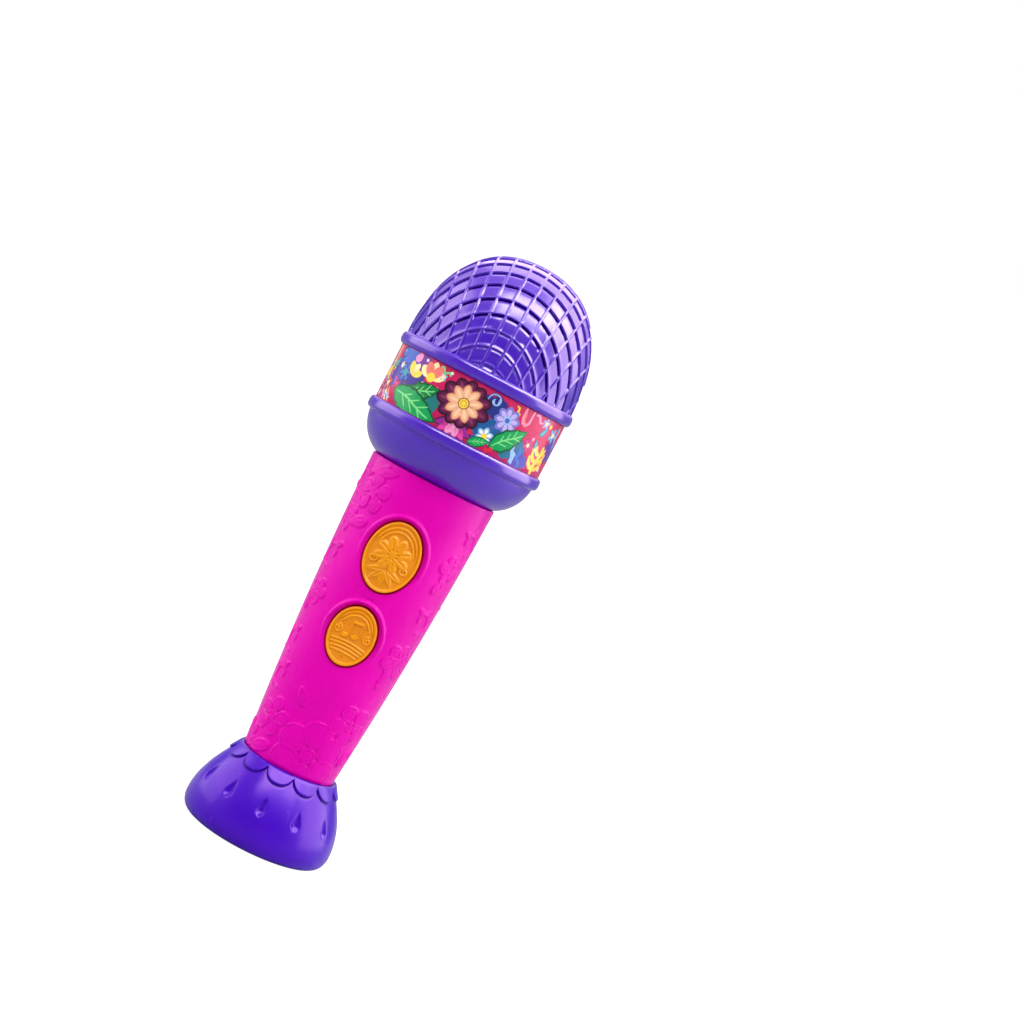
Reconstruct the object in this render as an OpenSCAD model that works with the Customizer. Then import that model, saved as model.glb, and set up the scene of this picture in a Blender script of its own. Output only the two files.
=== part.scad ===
// Toy hand microphone: a hollow handle in two half shells with two press buttons, a battery
// compartment and a sound board inside, a speaker in the cup of the head, a domed grille and a
// flared foot. The front is -Y, the origin is the centre of the underside of the foot.

/* [Handle] */
// Height at which the handle leaves the foot
handle_base_z = 26; // [24:0.5:28]
// Height at which the handle meets the cup
handle_top_z = 125.3; // [124:0.1:126]
// Outer radius of the handle at its base
handle_base_r = 15.3; // [15:0.1:16]
// Outer radius of the handle at its top
handle_top_r = 21.1; // [20.5:0.1:21.5]
// How far the sides bulge past a straight taper, as a quadratic factor
handle_bulge = 3.8; // [3:0.1:4.5]
// Wall thickness of the moulded shells
wall = 1.8; // [1.6:0.1:1.9]
// Half of the gap at the parting plane
parting_gap = 0.04; // [0.02:0.01:0.08]

/* [Foot] */
// Widest radius of the foot
foot_r = 24.9; // [24:0.1:26]
// Height of the widest part of the foot
foot_belly_z = 4.5; // [4:0.1:5]
// Radius of the top rim of the foot
foot_rim_r = 15.9; // [15.8:0.05:16.2]
// Radius of the flat ring that the foot stands on
foot_stand_r = 22.4; // [22:0.1:23]
// Number of scallops and of dimples around the foot
scallops = 12; // [10:1:14]
// Height of the scalloped band over the surface of the foot
scallop_rise = 0.75; // [0.4:0.05:0.9]

/* [Head] */
// Radius of the two rounded rings of the head
ring_r = 29.7; // [29.5:0.1:30]
// Outer radius of the wall that carries the label
label_wall_r = 28.2; // [28:0.1:28.4]
// Thickness of the label
label_t = 0.2; // [0.1:0.05:0.3]
// Height of the label's lower edge
label_z0 = 140.9; // [140.5:0.1:141.5]
// Height of the label's upper edge
label_z1 = 159; // [158.5:0.1:159.5]
// Height at which the dome rises from its ring
dome_z = 163.1; // [162.8:0.1:163.5]
// Radius of the dome where it leaves its ring
dome_r = 28.7; // [28.5:0.1:28.8]
// Height of the top of the dome over the ground
total_h = 200; // [198:0.5:202]

/* [Buttons] */
// Height of the centre of the upper button
upper_z = 99.8; // [99:0.1:100.5]
// Half width of the upper button
upper_a = 8.575; // [8.2:0.025:8.8]
// Half height of the upper button
upper_b = 11.375; // [11:0.025:11.6]
// Height of the centre of the lower button
lower_z = 72.7; // [72:0.1:73.5]
// Half width of the lower button
lower_a = 7.45; // [7.1:0.05:7.7]
// Half height of the lower button
lower_b = 9.65; // [9.3:0.05:9.9]
// How far the buttons stand over the handle
button_rise = 0.9; // [0.7:0.05:1.1]
// Gap around each button
button_gap = 0.35; // [0.2:0.05:0.45]
// Height of the raised bezel around each button
bezel_rise = 0.7; // [0.5:0.05:0.9]

/* [Battery compartment] */
// Lower edge of the door opening
door_z0 = 45.5; // [45:0.1:46]
// Upper edge of the door opening
door_z1 = 107.5; // [107:0.1:108]
// Half width of the door opening
door_half_w = 12.2; // [12.1:0.05:12.4]
// Gap around the door
door_gap = 0.2; // [0.15:0.05:0.3]
// Radius of an AAA cell
cell_r = 5.2; // [5.1:0.05:5.25]
// Length of an AAA cell over its nub
cell_l = 44.5; // [44:0.1:44.6]
// Height of the door screw
door_screw_z = 103.3; // [103:0.1:103.5]

/* [Hidden] */
$fn = 96;

// Clearances and the screw sizes that several parts share
touch = 0.02;
screw_r = 1.25;
screw_head_r = 2.4;
screw_head_t = 1.3;
big = 80;

// Handle: joints to the foot and the cup
handle_h = handle_top_z - handle_base_z;
profile_steps = 14;
tail_r = 13.7;
tail_z = 19.5;
tail_flange_r = 15.2;
tail_flange_top = 21.3;
neck_r = 17.5;
neck_top = 131;
neck_flange_r = 19.5;
neck_flange_top = 133;
neck_wall = 1.6;

// Handle: screws that close the two shells, as [x, z]
shell_screw_at = [[-10, 114.5], [10, 114.5], [0, 36]];
shell_boss_r = 2.8;
shell_head_y = 8.2;
shell_screw_tip_y = -6;
boss_gap = 0.15;

// Buttons, pad and board, measured along Y from the axis
upper_flange_y = -15.3;
lower_flange_y = -14.6;
flange_w = 1;
button_skin = 1.6;
button_side = 1.2;
post_r = 2.2;
post_y = -12.65;
pad_t = 1;
pad_half_w = 6;
pad_dome_r = 4;
pad_z0 = 66;
pad_z1 = 107;
board_y0 = -9.5;
board_t = 1.5;
board_y1 = board_y0 + board_t;
board_half_w = 10.5;
board_z0 = 55;
board_z1 = 111;
board_screw_at = [[-8.3, 85.4], [8.3, 85.4], [-7.6, 58.5], [7.6, 58.5]];
board_boss_r = 1.9;
board_screw_r = 1;
board_screw_l = 4.5;
bezel_in = 0.75;
bezel_out = 2.45;

// Battery tray, as inner faces of the space that holds the cells
tray_x = 11.05;
tray_rail = 1.85;
tray_floor_y = 0.6;
tray_floor_t = 1.2;
tray_z0 = 49.8;
tray_z1 = 99;
tray_end_t = 1.5;
tray_end_y = 12.6;
contact_t = 0.38;
contact_x0 = 0.7;
contact_x1 = 10.8;
contact_y0 = 2.5;
contact_y1 = 10.6;
cell_x = 5.5;
cell_y = 7.5;
nub_r = 1.9;
nub_h = 0.8;
spring_r = 3.4;
spring_wire = 0.35;
spring_turns = 3.5;
tab_x = 6.5;
tab_w = 2;
tab_y = 3.6;
tab_t = 0.5;
tab_top = 101.2;

// Door, its tongue, its screw and the boss that takes the screw
tongue_half_w = 3.5;
tongue_y0 = 13.1;
tongue_y1 = 14.2;
tongue_drop = 2.5;
tongue_root = 3.3;
door_boss_r = 3.7;
door_boss_y = 17;
recess_r = 3;
recess_y = 18.2;
door_hole_r = 1.35;
door_head_r = 2.7;
door_head_t = 1.7;
door_screw_tip_y = 9.7;
screw_post_r = 3.2;
screw_post_y = 12.8;
screw_post_hole_r = 1.7;
screw_post_hole_y = 8;
retainer_r = 2.3;
retainer_y0 = 12.95;
retainer_y1 = 13.75;

// Foot plate and its screws
plate_r = 20.6;
plate_t = 2;
plate_recess = 1.2;
foot_screw_circle = 16.5;
foot_screw_count = 3;
foot_boss_r = 2.8;
foot_boss_top = 18.5;
foot_collar_r = 13.9;
foot_screw_l = 9;
band_z = 21.2;
lobe_r = 4.7;
lobe_z = 25.9;
dimple_r = 2;
dimple_z = 13.6;

// Cup: an elliptical bowl with a collar for the neck, a lip, the label wall and a ledge
bowl_r0 = 16;
bowl_z0 = 138.5;
bowl_a = 12.4;
bowl_b = 13.9;
bowl_wall = 1.95;
bowl_steps = 9;
cup_floor_z = 125.4;
collar_r = 17.7;
collar_out_r = 19.6;
collar_top = 130.8;
ledge_r = 18.7;
ledge_z0 = 150;
ledge_z1 = 152;
label_wall_top = 158.9;
lip_z0 = 136.9;
cup_inner_r = label_wall_r - wall;
label_seam_w = 0.3;

// Dome: a superellipse of revolution on a rounded ring, with a skirt inside the cup
dome_power = 2.3;
dome_steps = 18;
skirt_r = 26.2;
skirt_t = 1.8;
skirt_z0 = 155;
ring_z0 = 159.05;
fan_depth = 99;
fan_step = 2.37;
sound_window = 2.2;
sound_rows = [9.1, 14.3];
sound_row_drop = 0.0535;

// Speaker, facing up on the ledge of the cup
speaker_r = 20;
speaker_flange_z = 152.05;
speaker_flange_t = 0.8;
basket_r = 8.8;
basket_z = 145.6;
magnet_r = 9;
magnet_z0 = 139.6;
cone_rim_r = 18.9;
cone_rim_z = 152.9;
cone_t = 0.4;
gasket_r0 = 17.2;
gasket_t = 1;
speaker_screw_circle = 22.2;
speaker_screw_head_r = 2.9;
speaker_screw_l = 8;
wire_r = 0.6;

// Outer radius of the handle at height z
function handle_r(z) = let (u = (z - handle_base_z) / handle_h)
    handle_base_r + (handle_top_r - handle_base_r) * u + handle_bulge * u * (1 - u);

// Outer radius of the foot at height z, over its widest part
function foot_profile_r(z) = foot_rim_r
    + (foot_r - foot_rim_r) * cos(90 * (z - foot_belly_z) / (handle_base_z - foot_belly_z));

// Points up the handle's surface, moved out by grow, between two heights
function handle_side(grow, z0, z1) = [for (i = [0:profile_steps])
    let (z = z0 + (z1 - z0) * i / profile_steps) [handle_r(z) + grow, z]];

// Points up the foot's surface, moved out by grow, between two heights
function foot_side(grow, z0, z1) = [for (i = [0:profile_steps])
    let (z = z0 + (z1 - z0) * i / profile_steps) [foot_profile_r(z) + grow, z]];

// Points up the bowl's ellipse, moved in by inset, from height z0 to its widest level
function bowl_side(inset, z0) = let (a = bowl_a - inset, b = bowl_b - inset,
    start = asin((z0 - bowl_z0) / b)) [for (i = [0:bowl_steps])
    let (t = start * (1 - i / bowl_steps)) [bowl_r0 + a * cos(t), bowl_z0 + b * sin(t)]];

// Points over the dome, moved in by inset, from its ring to its top
function dome_side(inset) = [for (i = [0:dome_steps]) let (t = 90 * i / dome_steps,
    e = 2 / dome_power) [i == dome_steps ? 0 : (dome_r - inset) * pow(cos(t), e),
    dome_z + (total_h - dome_z - inset) * pow(sin(t), e)]];

// Points of an ellipse
function ellipse(a, b, n = 72) = [for (i = [0:n - 1]) [a * cos(360 * i / n), b * sin(360 * i / n)]];

function reversed(list) = [for (i = [len(list) - 1:-1:0]) list[i]];

function unit(v) = v / norm(v);

// Points of a cubic curve through two ends and two handles
function curve(p, n = 16) = [for (i = [0:n]) let (t = i / n, s = 1 - t)
    s * s * s * p[0] + 3 * s * s * t * p[1] + 3 * s * t * t * p[2] + t * t * t * p[3]];

// Points of a helix about the Z axis
function helix(r, z0, z1, turns, n = 20) = [for (i = [0:n * turns])
    let (t = i / (n * turns)) [r * cos(360 * turns * t), r * sin(360 * turns * t),
    z0 + (z1 - z0) * t]];

// Round wire along a path; side is a direction that the path never runs along
module wire(path, r, side, sides = 10) {
    last = len(path) - 1;
    rings = [for (i = [0:last]) let (
        along = unit(path[min(i + 1, last)] - path[max(i - 1, 0)]),
        u = unit(cross(along, side)), v = cross(along, u))
        for (k = [0:sides - 1]) path[i]
        + r * (cos(360 * k / sides) * u + sin(360 * k / sides) * v)];
    walls = [for (i = [0:last - 1]) for (k = [0:sides - 1]) let (m = (k + 1) % sides)
        [i * sides + k, i * sides + m, (i + 1) * sides + m, (i + 1) * sides + k]];
    caps = [[for (k = [sides - 1:-1:0]) k], [for (k = [0:sides - 1]) last * sides + k]];
    polyhedron(points = rings, faces = concat(walls, caps), convexity = 4);
}

module ring(r_in, r_out, z0, z1) {
    difference() {
        translate([0, 0, z0]) cylinder(r = r_out, h = z1 - z0);
        translate([0, 0, z0 - 1]) cylinder(r = r_in, h = z1 - z0 + 2);
    }
}

// Solid of revolution under the handle's surface moved out by grow
module handle_core(grow) {
    rotate_extrude() polygon(concat([[0, handle_base_z]],
        handle_side(grow, handle_base_z, handle_top_z), [[0, handle_top_z]]));
}

// Cylinder along Y from y0 to y1 at [x, z]
module along_y(r, y0, y1, at) {
    translate([at[0], y1, at[1]]) rotate([90, 0, 0]) cylinder(r = r, h = y1 - y0);
}

// Elliptical prism along Y, centred at height z
module oval(a, b, z, y0, y1) {
    translate([0, y1, z]) rotate([90, 0, 0])
        linear_extrude(height = y1 - y0) polygon(ellipse(a, b));
}

// Pan head screw pointing down from z = 0, with a cross recess in its head
module screw(shank_r, l, head_r, head_t) {
    slot_w = head_r * 0.3;
    slot_l = head_r * 1.2;
    difference() {
        union() {
            translate([0, 0, -l]) cylinder(r = shank_r, h = l);
            cylinder(r = head_r, h = head_t);
        }
        for (turn = [0, 90]) rotate(turn)
            translate([-slot_l / 2, -slot_w / 2, head_t / 2]) cube([slot_l, slot_w, head_t]);
    }
}

// The same screw laid along Y, with its head's seat at y and its point to -Y
module screw_along_y(shank_r, l, head_r, head_t, at, y) {
    translate([at[0], y, at[1]]) rotate([-90, 0, 0]) screw(shank_r, l, head_r, head_t);
}

module foot_shell() {
    inner = foot_side(-wall, foot_belly_z, tail_flange_top);
    color("#6a35c8") difference() {
        union() {
            difference() {
                foot_body();
                rotate_extrude() polygon(concat([[0, -1], [plate_r + 0.2, -1],
                    [plate_r + 0.2, foot_belly_z / 2]], inner,
                    [[foot_collar_r, tail_flange_top + 0.2], [foot_collar_r, big], [0, big]]));
            }
            foot_band();
            intersection() {
                foot_body();
                foot_bosses();
            }
        }
        foot_screw_places() cylinder(r = screw_r + touch, h = plate_t + foot_screw_l + 1);
        for (i = [0:scallops - 1]) rotate(360 * i / scallops - 90)
            translate([foot_profile_r(dimple_z) + dimple_r - 0.7, 0, dimple_z])
            sphere(r = dimple_r);
    }
}

module foot_body() {
    rotate_extrude() polygon(concat([[0, 0], [foot_stand_r, 0], [foot_r - 0.7, 1.4],
        [foot_r - 0.1, 3]], foot_side(0, foot_belly_z, handle_base_z), [[0, handle_base_z]]));
}

// Scalloped collar that stands over the top of the foot
module foot_band() {
    intersection() {
        rotate_extrude() polygon(concat([[foot_profile_r(band_z - 1) - wall / 2, band_z - 1]],
            foot_side(scallop_rise, band_z - 1, handle_base_z),
            [[foot_collar_r, handle_base_z], [foot_collar_r, tail_flange_top + 1]]));
        for (i = [0:scallops - 1]) rotate(360 * i / scallops - 90)
            translate([foot_collar_r - 1, 0, lobe_z]) rotate([0, 90, 0])
            cylinder(r = lobe_r, h = foot_r);
    }
}

module foot_screw_places() {
    for (i = [0:foot_screw_count - 1]) rotate(360 * i / foot_screw_count + 90)
        translate([foot_screw_circle, 0, 0]) children();
}

module foot_bosses() {
    rib_t = 1.4;
    foot_screw_places() {
        translate([0, 0, plate_t + touch]) cylinder(r = foot_boss_r, h = foot_boss_top - plate_t);
        translate([0, -rib_t / 2, foot_belly_z + 1])
            cube([foot_r, rib_t, foot_boss_top - foot_belly_z - 1]);
    }
}

module foot_plate() {
    color("#5a2bb4") difference() {
        cylinder(r = plate_r, h = plate_t);
        foot_screw_places() {
            translate([0, 0, -1]) cylinder(r = screw_r + touch, h = plate_t + 2);
            translate([0, 0, -1]) cylinder(r = screw_head_r + 0.1, h = plate_recess + 1);
        }
    }
}

module foot_screws() {
    color("#b8b8bc") foot_screw_places() translate([0, 0, plate_recess]) rotate([180, 0, 0])
        screw(screw_r, foot_screw_l, screw_head_r, plate_recess - 0.2);
}

// Both handle halves in one piece: tail, tapered wall, neck and their flanges
module handle_shell() {
    inner_top = handle_top_z - wall;
    inner_base = handle_base_z + wall;
    rotate_extrude() polygon(concat(
        [[tail_r - neck_wall, tail_z], [tail_flange_r, tail_z],
        [tail_flange_r, tail_flange_top - touch], [tail_r, tail_flange_top - touch],
        [tail_r, handle_base_z + 0.1]],
        handle_side(0, handle_base_z + 0.1, handle_top_z),
        [[neck_r, handle_top_z], [neck_r, neck_top], [neck_flange_r, neck_top],
        [neck_flange_r, neck_flange_top], [neck_r - neck_wall, neck_flange_top],
        [neck_r - neck_wall, inner_top]],
        reversed(handle_side(-wall, inner_base, inner_top)),
        [[tail_r - neck_wall, inner_base]]));
}

// Raised bezel that fades into the shell below each button
module bezel(a, b, z) {
    fade = b * 0.75;
    intersection() {
        difference() {
            handle_core(bezel_rise);
            handle_core(-wall / 2);
        }
        difference() {
            oval(a + bezel_out, b + bezel_out, z, -big, 0);
            oval(a + bezel_in, b + bezel_in, z, -big - 1, 1);
        }
        translate([-big / 2, -big, z - fade]) cube([big, big, big]);
    }
}

module handle_front() {
    color("#e0059f") difference() {
        union() {
            difference() {
                union() {
                    handle_shell();
                    bezel(upper_a, upper_b, upper_z);
                    bezel(lower_a, lower_b, lower_z);
                }
                translate([-big, -parting_gap, 0]) cube([big * 2, big, big * 3]);
            }
            intersection() {
                handle_core(-wall / 2);
                union() {
                    for (at = shell_screw_at)
                        along_y(shell_boss_r, -big / 2, -boss_gap, at);
                    for (at = board_screw_at)
                        along_y(board_boss_r, -big / 2, board_y0 - touch, at);
                }
            }
        }
        oval(upper_a + button_gap, upper_b + button_gap, upper_z, -big, upper_flange_y - 0.5);
        oval(lower_a + button_gap, lower_b + button_gap, lower_z, -big, lower_flange_y - 0.3);
        for (at = shell_screw_at)
            along_y(screw_r + touch, shell_screw_tip_y - 1, big, at);
        for (at = board_screw_at)
            along_y(board_screw_r + touch, board_y0 - board_screw_l, big, at);
    }
}

// Space that the door takes out of the rear shell and the tray
module door_pocket() {
    intersection() {
        difference() {
            handle_core(big / 4);
            handle_core(-wall - 0.15);
        }
        translate([-door_half_w, 0, door_z0]) cube([door_half_w * 2, big, door_z1 - door_z0]);
    }
}

module tray() {
    full_w = tray_x + tray_rail;
    rail_z0 = tray_z0 - tray_end_t;
    intersection() {
        handle_core(-wall / 2);
        union() {
            translate([-full_w, tray_floor_y, rail_z0])
                cube([full_w * 2, tray_floor_t, door_z1 - rail_z0]);
            for (x = [-full_w, tray_x]) translate([x, tray_floor_y, rail_z0])
                cube([tray_rail, big, door_z1 - rail_z0]);
            for (z = [rail_z0, tray_z1]) translate([-full_w, tray_floor_y, z])
                cube([full_w * 2, tray_end_y - tray_floor_y, tray_end_t]);
        }
    }
    along_y(screw_post_r, tray_floor_y, screw_post_y, [0, door_screw_z]);
}

module handle_rear() {
    color("#e0059f") difference() {
        union() {
            difference() {
                handle_shell();
                translate([-big, parting_gap - big, 0]) cube([big * 2, big, big * 3]);
            }
            tray();
            intersection() {
                handle_core(-wall / 2);
                for (at = shell_screw_at) along_y(shell_boss_r + 0.9, boss_gap, big / 2, at);
            }
        }
        door_pocket();
        for (at = shell_screw_at) {
            along_y(screw_r + touch, -1, big, at);
            along_y(screw_head_r + 0.15, shell_head_y, big, at);
        }
        along_y(screw_post_hole_r, screw_post_hole_y, big, [0, door_screw_z]);
        for (x = [-tab_x, tab_x]) {
            along_y(wire_r + 1, -1, tray_floor_y + tray_floor_t + 0.1, [x, door_screw_z]);
            translate([x - tab_w / 2 - 0.2, tab_y - 0.2, tray_z1 - 1])
                cube([tab_w + 0.4, tab_t + 0.4, tray_end_t + 2]);
        }
    }
}

module shell_screws() {
    color("#b8b8bc") for (at = shell_screw_at)
        screw_along_y(screw_r, shell_head_y - shell_screw_tip_y, screw_head_r, screw_head_t,
            at, shell_head_y + touch);
}

// Button cap: a skin that follows the handle, a side wall, a retaining flange and a post
module button(a, b, z, flange_y) {
    difference() {
        union() {
            intersection() {
                handle_core(button_rise);
                oval(a, b, z, -big, flange_y + flange_w);
            }
            oval(a + flange_w, b + flange_w, z, flange_y, flange_y + flange_w);
        }
        intersection() {
            handle_core(button_rise - button_skin);
            oval(a - button_side, b - button_side, z, -big, 0);
        }
    }
    intersection() {
        handle_core(button_rise - button_skin / 2);
        along_y(post_r, -big, post_y, [0, z]);
    }
}

module upper_button() {
    color("#f9a514") button(upper_a, upper_b, upper_z, upper_flange_y);
}

module lower_button() {
    color("#f9a514") button(lower_a, lower_b, lower_z, lower_flange_y);
}

// One soft mat in front of the board, with a dome under each button's post
module button_pad() {
    back = board_y0 - touch;
    color("#d8d8d0") {
        translate([-pad_half_w, back - pad_t, pad_z0])
            cube([pad_half_w * 2, pad_t, pad_z1 - pad_z0]);
        for (z = [upper_z, lower_z])
            along_y(pad_dome_r, post_y + touch, back - pad_t / 2, [0, z]);
    }
}

module main_board() {
    color("#2f7d3a") difference() {
        translate([-board_half_w, board_y0, board_z0])
            cube([board_half_w * 2, board_t, board_z1 - board_z0]);
        for (at = board_screw_at)
            along_y(board_screw_r + 0.1, board_y0 - 1, board_y1 + 1, at);
    }
}

module board_screws() {
    color("#b8b8bc") for (at = board_screw_at)
        screw_along_y(board_screw_r, board_t + board_screw_l - 0.3, 1.9, 1, at, board_y1 + touch);
}

// Blob of black resin over the sound chip
module sound_chip() {
    blob_r = 8;
    blob_h = 1.3;
    color("#181818") intersection() {
        translate([0, board_y1 + touch + blob_h - blob_r, 74]) sphere(r = blob_r);
        translate([-blob_r, board_y1 + touch, 60]) cube([blob_r * 2, blob_r, 30]);
    }
}

module capacitor() {
    color("#23324f") along_y(2.5, board_y1 + touch, board_y1 + 6, [5, 94]);
}

// AAA cell standing on z with its nub up
module cell() {
    cylinder(r = cell_r, h = cell_l - nub_h);
    translate([0, 0, cell_l - nub_h]) cylinder(r = nub_r, h = nub_h);
}

module battery_left() {
    top = tray_z1 - contact_t - touch * 2;
    color("#3c8f57") translate([-cell_x, cell_y, top - cell_l]) cell();
}

module battery_right() {
    base = tray_z0 + contact_t + touch * 2;
    color("#3c8f57") translate([cell_x, cell_y, base + cell_l]) rotate([180, 0, 0]) cell();
}

// Plate at the bottom that joins the left cell's spring to the right cell's nub
module jumper_contact() {
    color("#c9c9c4") translate([-contact_x1, contact_y0, tray_z0 + touch])
        cube([contact_x1 * 2, contact_y1 - contact_y0, contact_t]);
}

module top_contact(x) {
    translate([x < 0 ? -contact_x1 : contact_x0, contact_y0, tray_z1 - contact_t - touch])
        cube([contact_x1 - contact_x0, contact_y1 - contact_y0, contact_t]);
    translate([x - tab_w / 2, tab_y, tray_z1 - contact_t / 2 - touch])
        cube([tab_w, tab_t, tab_top - tray_z1]);
}

module positive_contact() {
    color("#c9c9c4") top_contact(-tab_x);
}

module negative_contact() {
    color("#c9c9c4") top_contact(tab_x);
}

module cell_spring(x, z0, z1) {
    inset = spring_wire + touch;
    translate([x, cell_y, 0])
        wire(helix(spring_r, z0 + inset, z1 - inset, spring_turns), spring_wire, [0, 0, 1]);
}

module jumper_spring() {
    color("#d0d0d4") cell_spring(-cell_x, tray_z0 + contact_t + touch,
        tray_z1 - contact_t - touch * 2 - cell_l);
}

module negative_spring() {
    color("#d0d0d4") cell_spring(cell_x, tray_z0 + contact_t + touch * 2 + cell_l,
        tray_z1 - contact_t - touch);
}

// Door that follows the handle's surface, with a tongue below and a screw boss above
module battery_door() {
    half_w = door_half_w - door_gap;
    z0 = door_z0 + door_gap;
    z1 = door_z1 - door_gap;
    color("#e0059f") difference() {
        union() {
            intersection() {
                difference() {
                    handle_core(0);
                    handle_core(-wall);
                }
                translate([-half_w, 0, z0]) cube([half_w * 2, big, z1 - z0]);
            }
            intersection() {
                handle_core(-wall / 2);
                union() {
                    along_y(door_boss_r, door_boss_y, big / 2, [0, door_screw_z]);
                    translate([-tongue_half_w, tongue_y0, z0 + 0.2])
                        cube([tongue_half_w * 2, big, tongue_root - 0.2]);
                }
            }
            translate([-tongue_half_w, tongue_y0, door_z0 - tongue_drop])
                cube([tongue_half_w * 2, tongue_y1 - tongue_y0,
                    tongue_drop + tongue_root + door_gap]);
        }
        along_y(recess_r, recess_y, big, [0, door_screw_z]);
        along_y(door_hole_r, 0, big, [0, door_screw_z]);
    }
}

module door_screw() {
    color("#b8b8bc") screw_along_y(screw_r, recess_y - door_screw_tip_y, door_head_r,
        door_head_t, [0, door_screw_z], recess_y + touch);
}

// Soft washer on the screw behind the door, which keeps the screw captive
module screw_retainer() {
    color("#202020") difference() {
        along_y(retainer_r, retainer_y0, retainer_y1, [0, door_screw_z]);
        along_y(screw_r + touch, 0, big, [0, door_screw_z]);
    }
}

// Wire from a contact's tab, through the tray's floor, to the board
module battery_wire(x) {
    start_z = tab_top + wire_r;
    start_y = tab_y + tab_t / 2;
    wire(curve([[x, start_y, start_z], [x, start_y, start_z + 2.2],
        [x, 0, door_screw_z], [x, board_y1 + touch, door_screw_z]]), wire_r, [1, 0, 0]);
}

module battery_wire_red() {
    color("#c02020") battery_wire(-tab_x);
}

module battery_wire_black() {
    color("#202020") battery_wire(tab_x);
}

module head_cup() {
    rim = ring_r - 0.5;
    lip_z1 = label_z0;
    inner = bowl_side(bowl_wall, bowl_z0 - 10.7);
    post_top = speaker_flange_z + speaker_flange_t;
    color("#6a35c8") difference() {
        union() {
            rotate_extrude() polygon(concat([[collar_r, cup_floor_z]],
                [for (p = bowl_side(0, cup_floor_z)) if (p[1] < lip_z0) p],
                [[rim, lip_z0 + 0.2], [ring_r, lip_z0 + 1.1], [ring_r, lip_z1 - 1.1],
                [rim, lip_z1 - 0.2], [label_wall_r, lip_z1], [label_wall_r, label_wall_top],
                [cup_inner_r, label_wall_top], [cup_inner_r, ledge_z1], [ledge_r, ledge_z1],
                [ledge_r, ledge_z0], [cup_inner_r, ledge_z0]],
                reversed(inner),
                [[collar_out_r, cup_floor_z + 2], [collar_out_r, collar_top],
                [collar_r, collar_top]]));
            speaker_screw_places() translate([0, 0, post_top - 6]) cylinder(r = 2, h = 6);
        }
        speaker_screw_places() cylinder(r = screw_r + touch, h = big * 3);
    }
}

module label_band() {
    color("#d3204f") difference() {
        ring(label_wall_r + touch, label_wall_r + label_t, label_z0 + 0.05, label_z1);
        translate([-label_seam_w / 2, 0, label_z0 - 1])
            cube([label_seam_w, big, label_z1 - label_z0 + 2]);
    }
}

module grille_dome() {
    rim = ring_r - 0.5;
    color("#6a35c8") difference() {
        rotate_extrude() polygon(concat([[skirt_r - skirt_t, skirt_z0], [skirt_r, skirt_z0],
            [skirt_r, ring_z0], [label_wall_r, ring_z0], [rim, ring_z0 + 0.2],
            [ring_r, ring_z0 + 1.1], [ring_r, dome_z - 1.1], [rim, dome_z - 0.2]],
            dome_side(0), reversed(dome_side(wall)), [[skirt_r - skirt_t, ring_z0]]));
        for (row = sound_rows, k = [-2:2]) let (tilt = tan(k * fan_step),
            x = (row + fan_depth) * tilt, z = row - sound_row_drop * x * x)
            translate([(z + fan_depth) * tilt - sound_window / 2, dome_r / 2,
                dome_z + z - sound_window / 2]) cube([sound_window, big, sound_window]);
    }
}

module speaker_frame() {
    t = speaker_flange_t;
    top = speaker_flange_z + t;
    color("#9a9a9e") {
        rotate_extrude() polygon([[0, basket_z], [basket_r, basket_z],
            [18.2, speaker_flange_z], [speaker_r, speaker_flange_z], [speaker_r, top],
            [17.9, top], [basket_r - 0.3, basket_z + t], [0, basket_z + t]]);
        translate([-5, 14.8, 147.4]) cube([10, 1.6, 3.2]);
    }
}

module speaker_magnet() {
    color("#4a4a4e") translate([0, 0, magnet_z0])
        cylinder(r = magnet_r, h = basket_z - touch - magnet_z0);
}

module speaker_cone() {
    z = cone_rim_z;
    color("#2a2a2a") rotate_extrude() polygon([[cone_rim_r, z], [cone_rim_r, z + cone_t],
        [16.8, z + cone_t], [5.2, z - 3.9], [3.5, z - 3], [0, z - 2.5], [0, z - 3],
        [3.3, z - 3.5], [5, z - 4.5], [16.9, z]]);
}

module speaker_gasket() {
    z = cone_rim_z + cone_t + touch;
    color("#3a3a3a") ring(gasket_r0, cone_rim_r, z, z + gasket_t);
}

module speaker_screw_places() {
    for (i = [0:2]) rotate(120 * i + 90) translate([speaker_screw_circle, 0, 0]) children();
}

module speaker_screws() {
    color("#b8b8bc") speaker_screw_places()
        translate([0, 0, speaker_flange_z + speaker_flange_t + touch])
        screw(screw_r, speaker_screw_l, speaker_screw_head_r, screw_head_t);
}

// Wire from the top of the board, through the neck, to the speaker's terminal
module speaker_wire(x) {
    wire(curve([[x, board_y1 + 0.1, 107], [x, 4, 110], [x, 13.5, 128],
        [x, 15.6, 147.3]], 24), wire_r, [1, 0, 0]);
}

module speaker_wire_red() {
    color("#c02020") speaker_wire(-3);
}

module speaker_wire_black() {
    color("#202020") speaker_wire(3);
}

foot_shell();
foot_plate();
foot_screws();
handle_front();
handle_rear();
shell_screws();
upper_button();
lower_button();
button_pad();
main_board();
sound_chip();
capacitor();
board_screws();
battery_left();
battery_right();
jumper_contact();
jumper_spring();
positive_contact();
negative_contact();
negative_spring();
battery_door();
door_screw();
screw_retainer();
battery_wire_red();
battery_wire_black();
head_cup();
label_band();
grille_dome();
speaker_frame();
speaker_magnet();
speaker_cone();
speaker_gasket();
speaker_screws();
speaker_wire_red();
speaker_wire_black();
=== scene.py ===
import math
from contextlib import contextmanager

import bpy
import bmesh
import numpy as np
from mathutils import Matrix, Vector


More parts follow.
